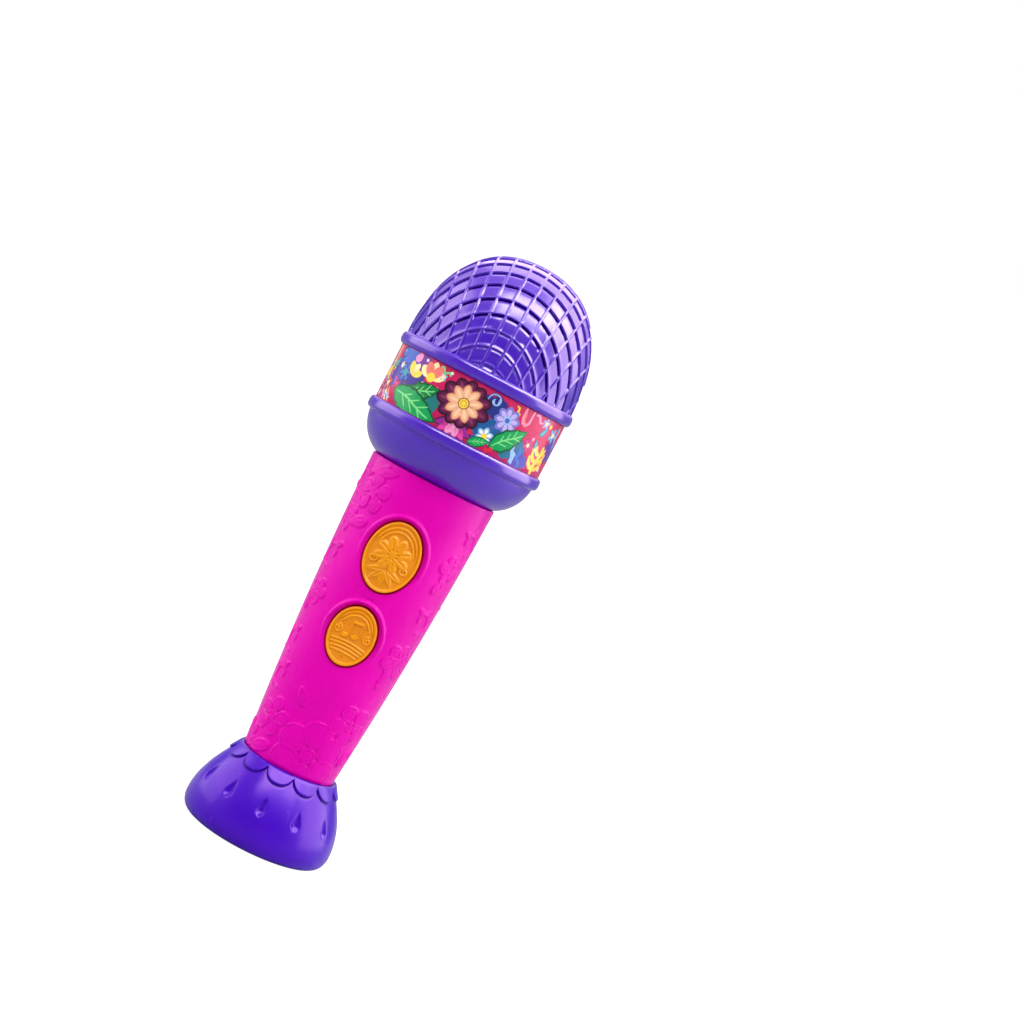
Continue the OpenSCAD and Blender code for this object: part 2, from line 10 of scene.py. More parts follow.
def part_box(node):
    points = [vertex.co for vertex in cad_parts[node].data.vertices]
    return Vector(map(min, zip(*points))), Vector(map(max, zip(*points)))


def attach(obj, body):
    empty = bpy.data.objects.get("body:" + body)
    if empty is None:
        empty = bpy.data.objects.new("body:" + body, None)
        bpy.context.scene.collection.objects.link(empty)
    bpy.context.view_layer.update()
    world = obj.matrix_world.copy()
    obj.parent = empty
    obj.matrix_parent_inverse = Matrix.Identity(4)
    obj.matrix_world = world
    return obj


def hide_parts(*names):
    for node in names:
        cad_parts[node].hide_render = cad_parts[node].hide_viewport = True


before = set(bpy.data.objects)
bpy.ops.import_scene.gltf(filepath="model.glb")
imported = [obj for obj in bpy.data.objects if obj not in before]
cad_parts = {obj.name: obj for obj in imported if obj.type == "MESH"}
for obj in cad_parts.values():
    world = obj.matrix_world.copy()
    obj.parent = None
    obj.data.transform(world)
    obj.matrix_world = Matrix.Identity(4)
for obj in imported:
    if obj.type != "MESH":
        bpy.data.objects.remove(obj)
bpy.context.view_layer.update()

# ---------------------------------------------------------------- sizes, in mm, from the frame

MM = 0.001
TAU = 2 * math.pi


def node_box(name):
    """Lowest and highest corner of a CAD node, in mm."""
    return [np.array(corner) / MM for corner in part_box(name)]


foot_high = node_box("foot_shell")[1]
dome_high = node_box("grille_dome")[1]
cup_low = node_box("head_cup")[0]
label_low, label_high = node_box("label_band")
rear_high = node_box("handle_rear")[1]
door_high = node_box("battery_door")[1]

WALL = 1.8
FOOT_R = foot_high[0]
FOOT_TOP = foot_high[2]
FOOT_BELLY = 4.5
FOOT_RIM_R = FOOT_TOP * 0.6115  # radius of the foot at its top
HANDLE_Z0 = FOOT_TOP
HANDLE_Z1 = cup_low[2] - 0.1
HANDLE_R0 = FOOT_RIM_R - 0.6
HANDLE_R1 = rear_high[0]
HANDLE_BULGE = 3.8  # four times how far its sides bow out
RING_R = dome_high[0]
LABEL_R = label_high[0]
LABEL_Z0 = label_low[2]
LABEL_Z1 = label_high[2]
DOME_TOP = dome_high[2]
DOME_Z = LABEL_Z1 + 4.1
DOME_H = DOME_TOP - DOME_Z
DOME_R = RING_R - 1.0
DOME_POWER = 2.3  # 2 would make an ellipse of it, and more makes it squarer
BUTTON_FLANGE = 1.0
BUTTON_GAP = 0.35
BUTTON_RISE = 0.9


def handle_r(z):
    u = (z - HANDLE_Z0) / (HANDLE_Z1 - HANDLE_Z0)
    return HANDLE_R0 + (HANDLE_R1 - HANDLE_R0) * u + HANDLE_BULGE * u * (1 - u)


def dome_r(h):
    t = np.clip(h / DOME_H, 0, 1)
    return DOME_R * (1 - t ** DOME_POWER) ** (1 / DOME_POWER)


def foot_r(z):
    t = np.clip((z - FOOT_BELLY) / (FOOT_TOP - FOOT_BELLY), 0, 1)
    return FOOT_RIM_R + (FOOT_R - FOOT_RIM_R) * np.cos(t * math.pi / 2)


def oval_of(node):
    """Centre height and half sizes of a button's face, from its CAD node."""
    low, high = node_box(node)
    return (low[2] + high[2]) / 2, high[0] - BUTTON_FLANGE, (high[2] - low[2]) / 2 - BUTTON_FLANGE


UPPER = oval_of("upper_button")
LOWER = oval_of("lower_button")

# ---------------------------------------------------------------- mesh helpers


def smooth(low, high, x):
    t = np.clip((x - low) / (high - low), 0, 1)
    return t * t * (3 - 2 * t)


def grid_faces(rows, cols, wrap=False):
    i = np.arange(rows - 1)[:, None]
    j = np.arange(cols if wrap else cols - 1)[None, :]
    a = i * cols + j
    b = i * cols + (j + 1) % cols
    return np.stack([a, b, b + cols, a + cols], -1).reshape(-1, 4)


@contextmanager
def editing(mesh):
    """A mesh as a bmesh that is written back at the end of the block."""
    bm = bmesh.new()
    bm.from_mesh(mesh)
    yield bm
    bm.to_mesh(mesh)
    bm.free()


def cut(bm, point, normal, **how):
    """Cuts through a bmesh; clear_outer drops what lies on the normal's side."""
    bmesh.ops.bisect_plane(bm, geom=bm.verts[:] + bm.edges[:] + bm.faces[:],
                           plane_co=[c * MM for c in point], plane_no=normal, **how)


def show(name, mesh, material):
    mesh.materials.append(material)
    thing = bpy.data.objects.new(name, mesh)
    bpy.context.scene.collection.objects.link(thing)
    return thing


def settle(piece, node, body):
    """Puts a piece on a body, in place of a CAD node, which it hides."""
    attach(piece, body)
    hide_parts(node)


def add_piece(name, verts, faces, material, node, body="housing", sharp=40.0, hollow=None):
    """A mesh from mm coordinates, smooth shaded apart from its sharp edges.

    hollow says how much painted shade each vertex gets, from 0 to 1, for the material to use:
    the material darkens the colour and dulls the gloss there.
    """
    mesh = bpy.data.meshes.new(name)
    mesh.from_pydata((np.asarray(verts, float) * MM).tolist(), [], flat([faces]))
    if hollow is not None:
        # painted shade, kept as a value on each point
        depth = mesh.attributes.new("PaintedShade", "FLOAT", "POINT")
        depth.data.foreach_set("value", np.asarray(hollow, np.float32))
    mesh.validate()
    with editing(mesh) as bm:
        unused = [v for v in bm.verts if not v.link_faces]
        bmesh.ops.delete(bm, geom=unused, context="VERTS")
    mesh.polygons.foreach_set("use_smooth", [True] * len(mesh.polygons))
    mesh.set_sharp_from_angle(angle=math.radians(sharp))
    piece = show(name, mesh, material)
    settle(piece, node, body)
    return piece


def flat(parts, flip=False):
    """Faces from several lists or arrays as one list, turned over if flip is set."""
    step = -1 if flip else 1
    return [tuple(int(k) for k in face)[::step] for part in parts for face in part]


def merge(parts):
    """Several (verts, faces) pairs as one pair."""
    verts, faces, start = [], [], 0
    for v, f in parts:
        v = np.asarray(v, float).reshape(-1, 3)
        verts.append(v)
        faces += [tuple(int(k) + start for k in face) for face in f]
        start += len(v)
    return np.concatenate(verts), faces


def weld(piece, distance):
    """Joins the doubled vertices of a piece and drops the faces that collapse."""
    with editing(piece.data) as bm:
        bmesh.ops.remove_doubles(bm, verts=bm.verts, dist=distance * MM)
        bmesh.ops.dissolve_degenerate(bm, edges=bm.edges, dist=distance * MM / 4)


def block_of(cols, i0, i1, j0, j1):
    """A block of a grid: the first corners of its faces, and the loop of points round it."""
    first = (np.arange(i0, i1)[:, None] * cols + np.arange(j0, j1)).ravel()
    loop = ([(i0, j) for j in range(j0, j1)] + [(i, j1) for i in range(i0, i1)]
            + [(i1, j) for j in range(j1, j0, -1)] + [(i, j0) for i in range(i1, i0, -1)])
    return first, np.array([i * cols + j for i, j in loop])


def revolve(profile, segments=256):
    """Surface of revolution about Z. The profile runs with its outside on its right."""
    profile = np.asarray(profile, float)
    phi = np.arange(segments) * TAU / segments
    r, z = profile[:, 0][:, None], profile[:, 1][:, None]
    verts = np.stack([r * np.sin(phi), -r * np.cos(phi), z + 0 * phi], -1).reshape(-1, 3)
    return verts, grid_faces(len(profile), segments, wrap=True)


def block(low, high, bevel=0.15, segments=2):
    """A box with rounded edges."""
    bm = bmesh.new()
    bmesh.ops.create_cube(bm, size=1)
    size, centre = np.subtract(high, low), (np.add(high, low)) / 2
    for v in bm.verts:
        v.co = Vector(centre + np.array(v.co) * size)
    bmesh.ops.bevel(bm, geom=bm.edges[:], offset=bevel, segments=segments, affect="EDGES",
                    profile=0.5)
    bm.verts.index_update()
    out = [tuple(v.co) for v in bm.verts], [[v.index for v in f.verts] for f in bm.faces]
    bm.free()
    return out


def turned_y(profile, centre, segments=64):
    """Surface of revolution about an axis along Y through (x, z); the profile is (r, y)."""
    profile = np.asarray(profile, float)
    t = np.arange(segments) * TAU / segments
    r, y = profile[:, 0][:, None], profile[:, 1][:, None]
    verts = np.stack([centre[0] + r * np.cos(t), y + 0 * t, centre[1] + r * np.sin(t)], -1)
    return verts.reshape(-1, 3), grid_faces(len(profile), segments, wrap=True)

# ---------------------------------------------------------------- drawing in the plane


def circle(c, r, n=40, squash=1.0):
    t = np.arange(n) * TAU / n
    return np.stack([c[0] + r * np.cos(t), c[1] + r * squash * np.sin(t)], -1)


def turned(points, angle, centre=(0, 0)):
    a = math.radians(angle)
    m = np.array([[math.cos(a), math.sin(a)], [-math.sin(a), math.cos(a)]])
    return np.asarray(points) @ m + np.asarray(centre)


def petal(c, angle, length, width, blunt=0.6, start=0.0, n=20):
    """Outline of a petal that leaves c at an angle: blunt under 1 gives a round tip."""
    t = np.linspace(0, 1, n)
    half = width / 2 * np.sin(math.pi * t ** 1.25) ** blunt
    along = start + (length - start) * t
    loop = np.concatenate([np.stack([along, half], -1), np.stack([along, -half], -1)[-2:0:-1]])
    return turned(loop, angle, c)


def leaf(c, angle, length, width, teeth=0, n=26):
    """Outline of a pointed leaf, with shallow lobes when teeth is set."""
    t = np.linspace(0, 1, n)
    half = width / 2 * np.sin(math.pi * t ** 0.8) ** 0.85
    half = half * (1 - 0.16 * (teeth > 0) * np.abs(np.sin(math.pi * teeth * t)) ** 0.6)
    loop = np.concatenate([np.stack([length * t, half], -1),
                           np.stack([length * t, -half], -1)[-2:0:-1]])
    return turned(loop, angle, c)


def spiral(c, r0, r1, start, turns, n=40):
    t = np.linspace(0, 1, n)
    a = np.radians(start) + turns * TAU * t
    r = r0 + (r1 - r0) * t
    return np.stack([c[0] + r * np.cos(a), c[1] + r * np.sin(a)], -1)


def stroke(line, width, taper=0.35):
    """Outline of a brush stroke along a line, with round ends."""
    line = np.asarray(line, float)
    along = np.gradient(line, axis=0)
    along /= np.linalg.norm(along, axis=1, keepdims=True)
    side = np.stack([-along[:, 1], along[:, 0]], -1)
    t = np.linspace(0, 1, len(line))
    half = (width / 2 * (1 - taper * (2 * t - 1) ** 2))[:, None]
    a0, a1 = (math.atan2(*along[k][::-1]) for k in (0, -1))
    cap = np.linspace(-math.pi / 2, math.pi / 2, 7)[1:-1]
    end = line[-1] + half[-1] * np.stack([np.cos(a1 + cap), np.sin(a1 + cap)], -1)
    begin = line[0] - half[0] * np.stack([np.cos(a0 + cap), np.sin(a0 + cap)], -1)
    return np.concatenate([line - side * half, end, (line + side * half)[::-1], begin])


def closed(loop):
    return np.vstack([loop, loop[:1]])


def distance_to(px, pz, lines, reach):
    """Distance from each point to the nearest of some polylines, up to reach."""
    best = np.full(px.shape, reach)
    for line in lines:
        low, high = line.min(0) - reach, line.max(0) + reach
        near = (px > low[0]) & (px < high[0]) & (pz > low[1]) & (pz < high[1])
        if not near.any():
            continue
        p = np.stack([px[near], pz[near]], -1)
        d = np.full(len(p), reach)
        for a, b in zip(line[:-1], line[1:]):
            ab = b - a
            t = np.clip(((p - a) @ ab) / max(ab @ ab, 1e-12), 0, 1)
            d = np.minimum(d, np.linalg.norm(p - a - t[:, None] * ab, axis=1))
        best[near] = np.minimum(best[near], d)
    return best


def inside(px, pz, loop):
    """Which points lie inside a closed outline."""
    hit = np.zeros(px.shape, bool)
    for (x1, z1), (x2, z2) in zip(loop, np.roll(loop, -1, 0)):
        crosses = (z1 > pz) != (z2 > pz)
        hit ^= crosses & (px < (x2 - x1) * (pz - z1) / ((z2 - z1) or 1e-12) + x1)
    return hit


def relief(px, pz, lines, width, height):
    """A rounded raised line of some width along polylines."""
    d = distance_to(px, pz, lines, width)
    return height * np.clip(1 - (d / width) ** 2, 0, 1) ** 1.5


def pillow(px, pz, loop, edge, height):
    """A raised shape with a soft shoulder along its outline."""
    d = distance_to(px, pz, [closed(loop)], edge * 1.01)
    return np.where(inside(px, pz, loop), height * smooth(0, edge, d), 0)

# ---------------------------------------------------------------- materials


class Nodes:
    """Short names for building a material's node tree."""

    def __init__(self, name):
        self.material = bpy.data.materials.new(name)
        self.material.use_nodes = True
        self.tree = self.material.node_tree
        self.shader = self.tree.nodes["Principled BSDF"]
        self.place = self.add("ShaderNodeTexCoord").outputs["Object"]

    def add(self, kind, **values):
        node = self.tree.nodes.new(kind)
        for key, value in values.items():
            setattr(node, key, value)
        return node

    def join(self, source, target):
        self.tree.links.new(source, target)

    def noise(self, scale, detail=3.0, stretch=None):
        node = self.add("ShaderNodeTexNoise")
        node.inputs["Scale"].default_value = scale
        node.inputs["Detail"].default_value = detail
        place = self.place
        if stretch:
            mapping = self.add("ShaderNodeMapping")
            mapping.inputs["Scale"].default_value = stretch
            self.join(place, mapping.inputs["Vector"])
            place = mapping.outputs["Vector"]
        self.join(place, node.inputs["Vector"])
        return node.outputs["Fac"]

    def ramp(self, source, stops):
        node = self.add("ShaderNodeValToRGB")
        marks = node.color_ramp.elements
        while len(marks) < len(stops):
            marks.new(0.5)
        for mark, (place, colour) in zip(marks, stops):
            mark.position = place
            mark.color = (*colour, 1) if len(colour) == 3 else colour
        self.join(source, node.inputs["Fac"])
        return node.outputs["Color"]

    def span(self, source, low, high, source_low=0.0, source_high=1.0):
        node = self.add("ShaderNodeMapRange")
        node.inputs["From Min"].default_value = source_low
        node.inputs["From Max"].default_value = source_high
        node.inputs["To Min"].default_value = low
        node.inputs["To Max"].default_value = high
        self.join(source, node.inputs["Value"])
        return node.outputs["Result"]

    def mix(self, factor, a, b, blend="MIX"):
        node = self.add("ShaderNodeMix", data_type="RGBA", blend_type=blend)
        for socket, value in ((node.inputs["Factor"], factor), (node.inputs[6], a),
                              (node.inputs[7], b)):
            if isinstance(value, bpy.types.NodeSocket):
                self.join(value, socket)
            elif isinstance(value, (int, float)):
                socket.default_value = value
            else:
                socket.default_value = (*value, 1)
        return node.outputs[2]

    def bump(self, height, distance_mm, strength=1.0, after=None):
        node = self.add("ShaderNodeBump")
        node.inputs["Distance"].default_value = distance_mm * MM
        node.inputs["Strength"].default_value = strength
        self.join(height, node.inputs["Height"])
        if after is not None:
            self.join(after, node.inputs["Normal"])
        return node.outputs["Normal"]

    def set(self, **values):
        for key, value in values.items():
            socket = self.shader.inputs[key.replace("_", " ")]
            if isinstance(value, bpy.types.NodeSocket):
                self.join(value, socket)
            elif isinstance(value, tuple):
                socket.default_value = (*value, 1)[:len(socket.default_value)]
            else:
                socket.default_value = value
        return self.material


def srgb(r, g, b):
    """Linear colour from 0 to 255 screen values."""
    return tuple(c / 12.92 if c <= 0.04045 else ((c + 0.055) / 1.055) ** 2.4
                 for c in (r / 255, g / 255, b / 255))


def shade(colour, factor, lift=0.0):
    return tuple(min(1.0, c * factor + lift) for c in colour)


def moulded_plastic(name, colour, roughness=0.2, grain=0.012, gloss=0.5, tint=(1, 1, 1),
                    deep=None):
    """Glossy injection-moulded plastic: cloudy tint, orange peel, hairline scuffs, edges made
    lighter partly as wear and partly as a painted highlight, and painted shade in crevices."""
    n = Nodes(name)
    cloud = n.noise(55, 4)
    tone = n.ramp(cloud, [(0.3, shade(colour, 0.93)), (0.7, shade(colour, 1.05))])
    # Pointy edges are made lighter: partly wear, partly a painted highlight.
    edge = n.add("ShaderNodeNewGeometry").outputs["Pointiness"]
    tone = n.mix(n.span(edge, 0, 0.5, 0.56, 0.7), tone, shade(colour, 1.1, 0.035))
    # Painted shade: where this attribute is high the colour goes towards deep (a dark shade of the
    # colour if none is given) and the gloss is dulled.
    hollow = n.add("ShaderNodeAttribute", attribute_name="PaintedShade").outputs["Fac"]
    tone = n.mix(n.span(hollow, 0, 0.92, 0.15, 0.75), tone, deep or shade(colour, 0.08))
    scuffs = n.noise(260, 2, stretch=(1, 1, 0.06))
    scuffed = n.span(scuffs, 0, 0.05, 0.6, 0.75)
    polish = n.span(n.noise(120, 5), roughness * 0.8, roughness * 1.25)
    rough = n.add("ShaderNodeMath", operation="ADD")
    n.join(polish, rough.inputs[0])
    n.join(scuffed, rough.inputs[1])
    peel = n.bump(n.noise(900, 2), grain, 0.6)
    fine = n.bump(n.noise(4200, 3), grain / 4, 0.5, peel)
    dull = n.span(hollow, gloss, 0.02, 0.15, 0.75)
    return n.set(Base_Color=tone, Roughness=rough.outputs[0], Normal=fine,
                 Specular_IOR_Level=dull, Specular_Tint=tint, IOR=1.5)


def printed_film(name, colour, spread=0.12, tint=None):
    """Printed label film: soft tone change, faint print dots, glossy clear top.

    tint names an attribute with each face's own colour.
    """
    n = Nodes(name)
    tone = n.ramp(n.noise(160, 3), [(0.25, shade(colour, 1 - spread)),
                                    (0.75, shade(colour, 1 + spread, 0.01))])
    dots = n.add("ShaderNodeTexVoronoi")
    dots.inputs["Scale"].default_value = 5200
    n.join(n.place, dots.inputs["Vector"])
    tone = n.mix(n.span(dots.outputs["Distance"], 0.07, 0, 0.1, 0.5), tone, shade(colour, 0.8))
    if tint:
        own = n.add("ShaderNodeAttribute", attribute_name=tint).outputs["Color"]
        tone = n.mix(1.0, own, n.mix(1.0, tone, (0.5, 0.5, 0.5), "ADD"), "MULTIPLY")
    ripple = n.bump(n.noise(70, 2), 0.05, 0.25)
    return n.set(Base_Color=tone, Roughness=n.span(n.noise(300, 3), 0.22, 0.36), Normal=ripple,
                 Specular_IOR_Level=0.2, Coat_Weight=0.12, Coat_Roughness=0.12)


def metal(name, colour, roughness, brush=(1, 1, 1), scale=900):
    """Plated metal with a directional brushing and dull spots."""
    n = Nodes(name)
    lines = n.noise(scale, 4, stretch=brush)
    tone = n.ramp(n.noise(220, 4), [(0.3, shade(colour, 0.8)), (0.7, colour)])
    return n.set(Base_Color=tone, Metallic=1.0,
                 Roughness=n.span(lines, roughness * 0.7, roughness * 1.4),
                 Normal=n.bump(lines, 0.01, 0.5))


def soft_matte(name, colour, roughness=0.6, scale=1500, depth=0.02):
    """Rubber, foam, paper or wire insulation: matt with a fine tooth."""
    n = Nodes(name)
    tone = n.ramp(n.noise(180, 4), [(0.3, shade(colour, 0.85)), (0.7, shade(colour, 1.1, 0.005))])
    return n.set(Base_Color=tone, Roughness=n.span(n.noise(400, 3), roughness * 0.8, roughness),
                 Normal=n.bump(n.noise(scale, 4), depth, 0.7))


def circuit_board(name):
    """Green solder mask over copper tracks, with tinned pads."""
    n = Nodes(name)
    mask = srgb(30, 105, 52)
    tracks = n.add("ShaderNodeTexBrick", offset=0.5)
    tracks.inputs["Scale"].default_value = 260
    tracks.inputs["Mortar Size"].default_value = 0.12
    turn = n.add("ShaderNodeMapping")
    turn.inputs["Rotation"].default_value = (math.pi / 2, 0, 0)
    n.join(n.place, turn.inputs["Vector"])
    n.join(turn.outputs["Vector"], tracks.inputs["Vector"])
    tone = n.mix(tracks.outputs["Fac"], shade(mask, 0.7), shade(mask, 1.5))
    return n.set(Base_Color=tone, Roughness=n.span(n.noise(300, 3), 0.25, 0.45),
                 Normal=n.bump(tracks.outputs["Fac"], 0.03, 0.6))


def cell_wrap(name, lower, upper, split_z):
    """Shrink wrap of a dry cell in two plain bands with a metallic collar between them."""
    n = Nodes(name)
    parts = n.add("ShaderNodeSeparateXYZ")
    n.join(n.place, parts.inputs[0])
    height = n.span(parts.outputs["Z"], 0, 1, (split_z - 22) * MM, (split_z + 22) * MM)
    bands = n.ramp(height, [(0.0, lower), (0.485, lower), (0.49, srgb(220, 190, 90)),
                            (0.51, srgb(220, 190, 90)), (0.515, upper), (1.0, upper)])
    tone = n.mix(n.span(n.noise(200, 4), 0, 0.2), bands, (0.02, 0.02, 0.02))
    return n.set(Base_Color=tone, Metallic=0.35, Roughness=n.span(n.noise(500, 3), 0.22, 0.4),
                 Normal=n.bump(n.noise(300, 3), 0.03, 0.4))


MAGENTA = srgb(224, 0, 172)
VIOLET = srgb(62, 0, 182)
AMBER = srgb(236, 150, 2)
# dark red painted shade for the gaps round the buttons, the walls of their holes and the caps'
# rims
GAP_SHADE_RED = srgb(190, 6, 62)

handle_plastic = moulded_plastic("handle_plastic", MAGENTA, 0.27, gloss=0.16, tint=(1, 0.4, 0.9),
                                 deep=GAP_SHADE_RED)
dome_plastic = moulded_plastic("dome_plastic", VIOLET, 0.22, gloss=1.0, tint=(0.96, 0.84, 0.83))
foot_plastic = moulded_plastic("foot_plastic", VIOLET, 0.23, 0.02, gloss=0.38, tint=(1, 0.5, 0.75))
button_plastic = moulded_plastic("button_plastic", AMBER, 0.34, gloss=0.2, deep=GAP_SHADE_RED)
screw_steel = metal("screw_steel", srgb(190, 192, 198), 0.3, (1, 1, 8))
contact_nickel = metal("contact_nickel", srgb(205, 200, 188), 0.28, (8, 1, 1))
speaker_steel = metal("speaker_steel", srgb(150, 152, 158), 0.4, (1, 1, 1), 500)

# ---------------------------------------------------------------- dome

FAN_DEPTH = 99.0  # the upright ribs fan out from a point this far below the dome
FAN_STEP = 2.37  # degrees from one to the next
FAN_REACH = 6  # ribs to each side of the middle one
SLOPE = 3.0  # how fast the planes of the cross ribs rise from back to front
ROW_COUNT = 10  # cross ribs, spaced along the dome's side
FIRST_ROW = 1.15
ROW_PITCH = 5.371
ROW_STEPS = [0, .02, .04, .06, .085, .115, .15, .3, .5, .7, .86, .91, .935, .955, .975]
COLUMN_STEPS = [0, .03, .06, .09, .12, .16, .26, .5, .74, .84, .88, .91, .94, .97]
WINDOW_ROWS = (2, 3)
WINDOW_COLUMNS = range(-2, 3)
WINDOW_STEPS = (7, 9)  # where a window starts and ends in ROW_STEPS
RIB_HALF, RIB_HEIGHT = 0.5, 0.3
SLOT_AT, SLOT_HALF, SLOT_DEPTH = -0.14, 0.36, 1.05
# SLOT_FOOT also scales the painted shade of the slots near the ring.
SLOT_FOOT = 0.22  # share of its depth a slot has near the ring
LIP_AT, LIP_HALF, LIP_HEIGHT = 0.46, 0.34, 0.34


def dome_meridian():
    """Arc length, height and radius along the dome's side, from a little below the ring."""
    t = np.linspace(0, math.pi / 2, 4000)
    h = DOME_H * np.sin(t) ** (2 / DOME_POWER)
    r = DOME_R * np.cos(t) ** (2 / DOME_POWER)
    s = np.concatenate([[0], np.cumsum(np.hypot(np.diff(h), np.diff(r)))])
    return (np.concatenate([[-6], s]), np.concatenate([[-6], h]), np.concatenate([[DOME_R], r]))


def build_dome():
    """The ribbed dome: a grid of fanned columns and tilted rows, mirrored to the rear.

    A point's column is its angle b in the fan, and its row is c = h - SLOPE * r, the height at
    which its tilted plane meets the axis.
    """
    s_line, h_line, r_line = dome_meridian()
    s_marks = FIRST_ROW + ROW_PITCH * np.arange(-1, ROW_COUNT)
    s_rows = (s_marks[:, None] + ROW_PITCH * np.array(ROW_STEPS)).ravel()
    s_rows = np.append(s_rows[s_rows < s_line[-1] - 0.05], s_line[-1])
    c_line = h_line - SLOPE * r_line
    c_rows = np.interp(s_rows, s_line, c_line)
    c_marks = np.interp(s_marks, s_line, c_line)
    b_end = math.degrees(math.atan(DOME_R / FAN_DEPTH)) / FAN_STEP
    b_cols = np.array([k - 0.5 + f for k in range(-FAN_REACH - 1, FAN_REACH + 2)
                       for f in COLUMN_STEPS])
    b_cols = np.concatenate([[-b_end], b_cols[np.abs(b_cols) < b_end - 0.02], [b_end]])
    beta = np.radians(b_cols * FAN_STEP)

    top = np.arctan(dome_r(np.maximum(c_rows, 0)) / (np.maximum(c_rows, 0) + FAN_DEPTH))
    b = np.clip(beta[None, :], -top[:, None], top[:, None])
    c = np.repeat(c_rows[:, None], len(beta), 1)
    low, high = np.maximum(c, -6.0), np.full(c.shape, DOME_H)
    for _ in range(60):  # halving finds the height at which row and column meet the skin
        h = (low + high) / 2
        outside = np.hypot((h + FAN_DEPTH) * np.tan(b), (h - c) / SLOPE) > dome_r(h)
        high = np.where(outside, h, high)
        low = np.where(outside, low, h)
    h = (low + high) / 2
    x = (h + FAN_DEPTH) * np.tan(b)
    y = -np.maximum(h - c, 0) / SLOPE
    y[np.abs(b) >= top[:, None] - 1e-9] = 0
    r = np.maximum(np.hypot(x, y), 1e-6)

    n_r = (r / DOME_R) ** (DOME_POWER - 1) / DOME_R
    n_h = np.clip(h / DOME_H, 0, 1) ** (DOME_POWER - 1) / DOME_H
    size = np.hypot(n_r, n_h)
    normal = np.stack([x / r * n_r / size, y / r * n_r / size, n_h / size], -1)

    def per_mm(gradient):
        """How fast a value with some gradient changes along the skin."""
        along = (gradient * normal).sum(-1, keepdims=True)
        return np.maximum(np.linalg.norm(gradient - along * normal, axis=-1), 0.15)

    rise = per_mm(np.broadcast_to([0, SLOPE, 1.0], normal.shape))
    gap = c[..., None] - c_marks
    nearest = np.abs(gap).argmin(-1)[..., None]
    wide = np.clip(1.4 / rise, 1, 1.8)
    over_row = np.take_along_axis(gap, nearest, -1)[..., 0] / rise / wide
    line = np.floor(b_cols)[None, :] + 0.5
    lean = np.broadcast_to(np.tan(np.radians(line * FAN_STEP)), x.shape)
    to_rib = np.abs(x - (h + FAN_DEPTH) * lean) / per_mm(
        np.stack([np.ones_like(x), 0 * x, -lean], -1))
    slot = np.clip(1 - ((over_row - SLOT_AT) / SLOT_HALF) ** 2, 0, 1) ** 0.6
    slot *= smooth(RIB_HALF - 0.1, RIB_HALF + 0.22, to_rib)
    slot *= SLOT_FOOT + (1 - SLOT_FOOT) * smooth(9, 21, s_marks[nearest[..., 0]])
    lip = np.clip(1 - ((over_row - LIP_AT) / LIP_HALF) ** 2, 0, 1) ** 1.2
    rib = np.clip(1 - (to_rib / RIB_HALF) ** 2, 0, 1) ** 0.8
    raised = np.maximum(RIB_HEIGHT * rib, LIP_HEIGHT * lip)
    fade = smooth(-0.3, 0.3, h)
    lift = fade * (raised - RIB_HEIGHT - SLOT_DEPTH * slot)
    front = np.stack([x, y, h + DOME_Z], -1) + normal * lift[..., None]
    front[..., 1] = np.minimum(front[..., 1], 0)

    rows, cols = c.shape
    faces = grid_faces(rows, cols)
    n = rows * cols
    rear = front * [1, -1, 1]
    deep = (rear - normal * [1, -1, 1] * WALL).reshape(-1, 3)
    verts = [front.reshape(-1, 3), rear.reshape(-1, 3)]
    keep = np.ones(len(faces), bool)
    sides, start = [], 2 * n
    for row in WINDOW_ROWS:
        for k in WINDOW_COLUMNS:
            i0 = row * len(ROW_STEPS) + WINDOW_STEPS[0]
            i1 = row * len(ROW_STEPS) + WINDOW_STEPS[1]
            j0, j1 = (int(np.argmin(np.abs(b_cols - (k + d)))) for d in (-0.24, 0.24))
            first, loop = block_of(cols, i0, i1, j0, j1)
            keep &= ~np.isin(faces[:, 0], first)
            verts.append(deep[loop])
            ring = start + np.arange(len(loop))
            sides.append(np.stack([n + np.roll(loop, -1), n + loop, ring, np.roll(ring, -1)], -1))
            start += len(loop)
    verts = np.concatenate(verts)
    # the slots carry painted shade on both halves; the window walls get none
    hollow = np.concatenate([slot.ravel(), slot.ravel(), np.zeros(len(verts) - 2 * n)])
    all_faces = flat([faces, faces[keep][:, ::-1] + n] + sides)
    piece = add_piece("dome", verts, all_faces, dome_plastic, "grille_dome", sharp=50,
                      hollow=hollow)
    weld(piece, 0.004)
    with editing(piece.data) as bm:
        # faces that the clamp at y = 0 has folded flat between the two halves
        fins = [f for f in bm.faces if all(abs(v.co.y) < 0.006 * MM for v in f.verts)]
        bmesh.ops.delete(bm, geom=fins, context="FACES")
        cut(bm, (0, 0, DOME_Z - 0.15), (0, 0, -1), dist=1e-7, clear_outer=True)


def rounded_ring(z0, z1, r_in, r_out, power=2.5, n=22):
    """Half outline of a full, slightly squared ring, from its lower to its upper edge."""
    t = np.linspace(-1, 1, n)
    t = np.sin(t * math.pi / 2)
    r = r_in + (r_out - r_in) * (1 - np.abs(t) ** power) ** (1 / power)
    return np.stack([r, (z0 + z1) / 2 + (z1 - z0) / 2 * t], -1)


build_dome()
ring_profile = np.concatenate([
    [(24.4, 159.6), (24.4, 155.1), (24.5, 155.0), (26.1, 155.0), (26.2, 155.1), (26.2, 159.05)],
    rounded_ring(159.05, 163.1, 28.15, RING_R),
    [(28.3, 163.02), (27.0, 163.02), (26.4, 162.6), (24.4, 159.6)]])
add_piece("dome_ring", *revolve(ring_profile), dome_plastic, "grille_dome")

# ---------------------------------------------------------------- cup

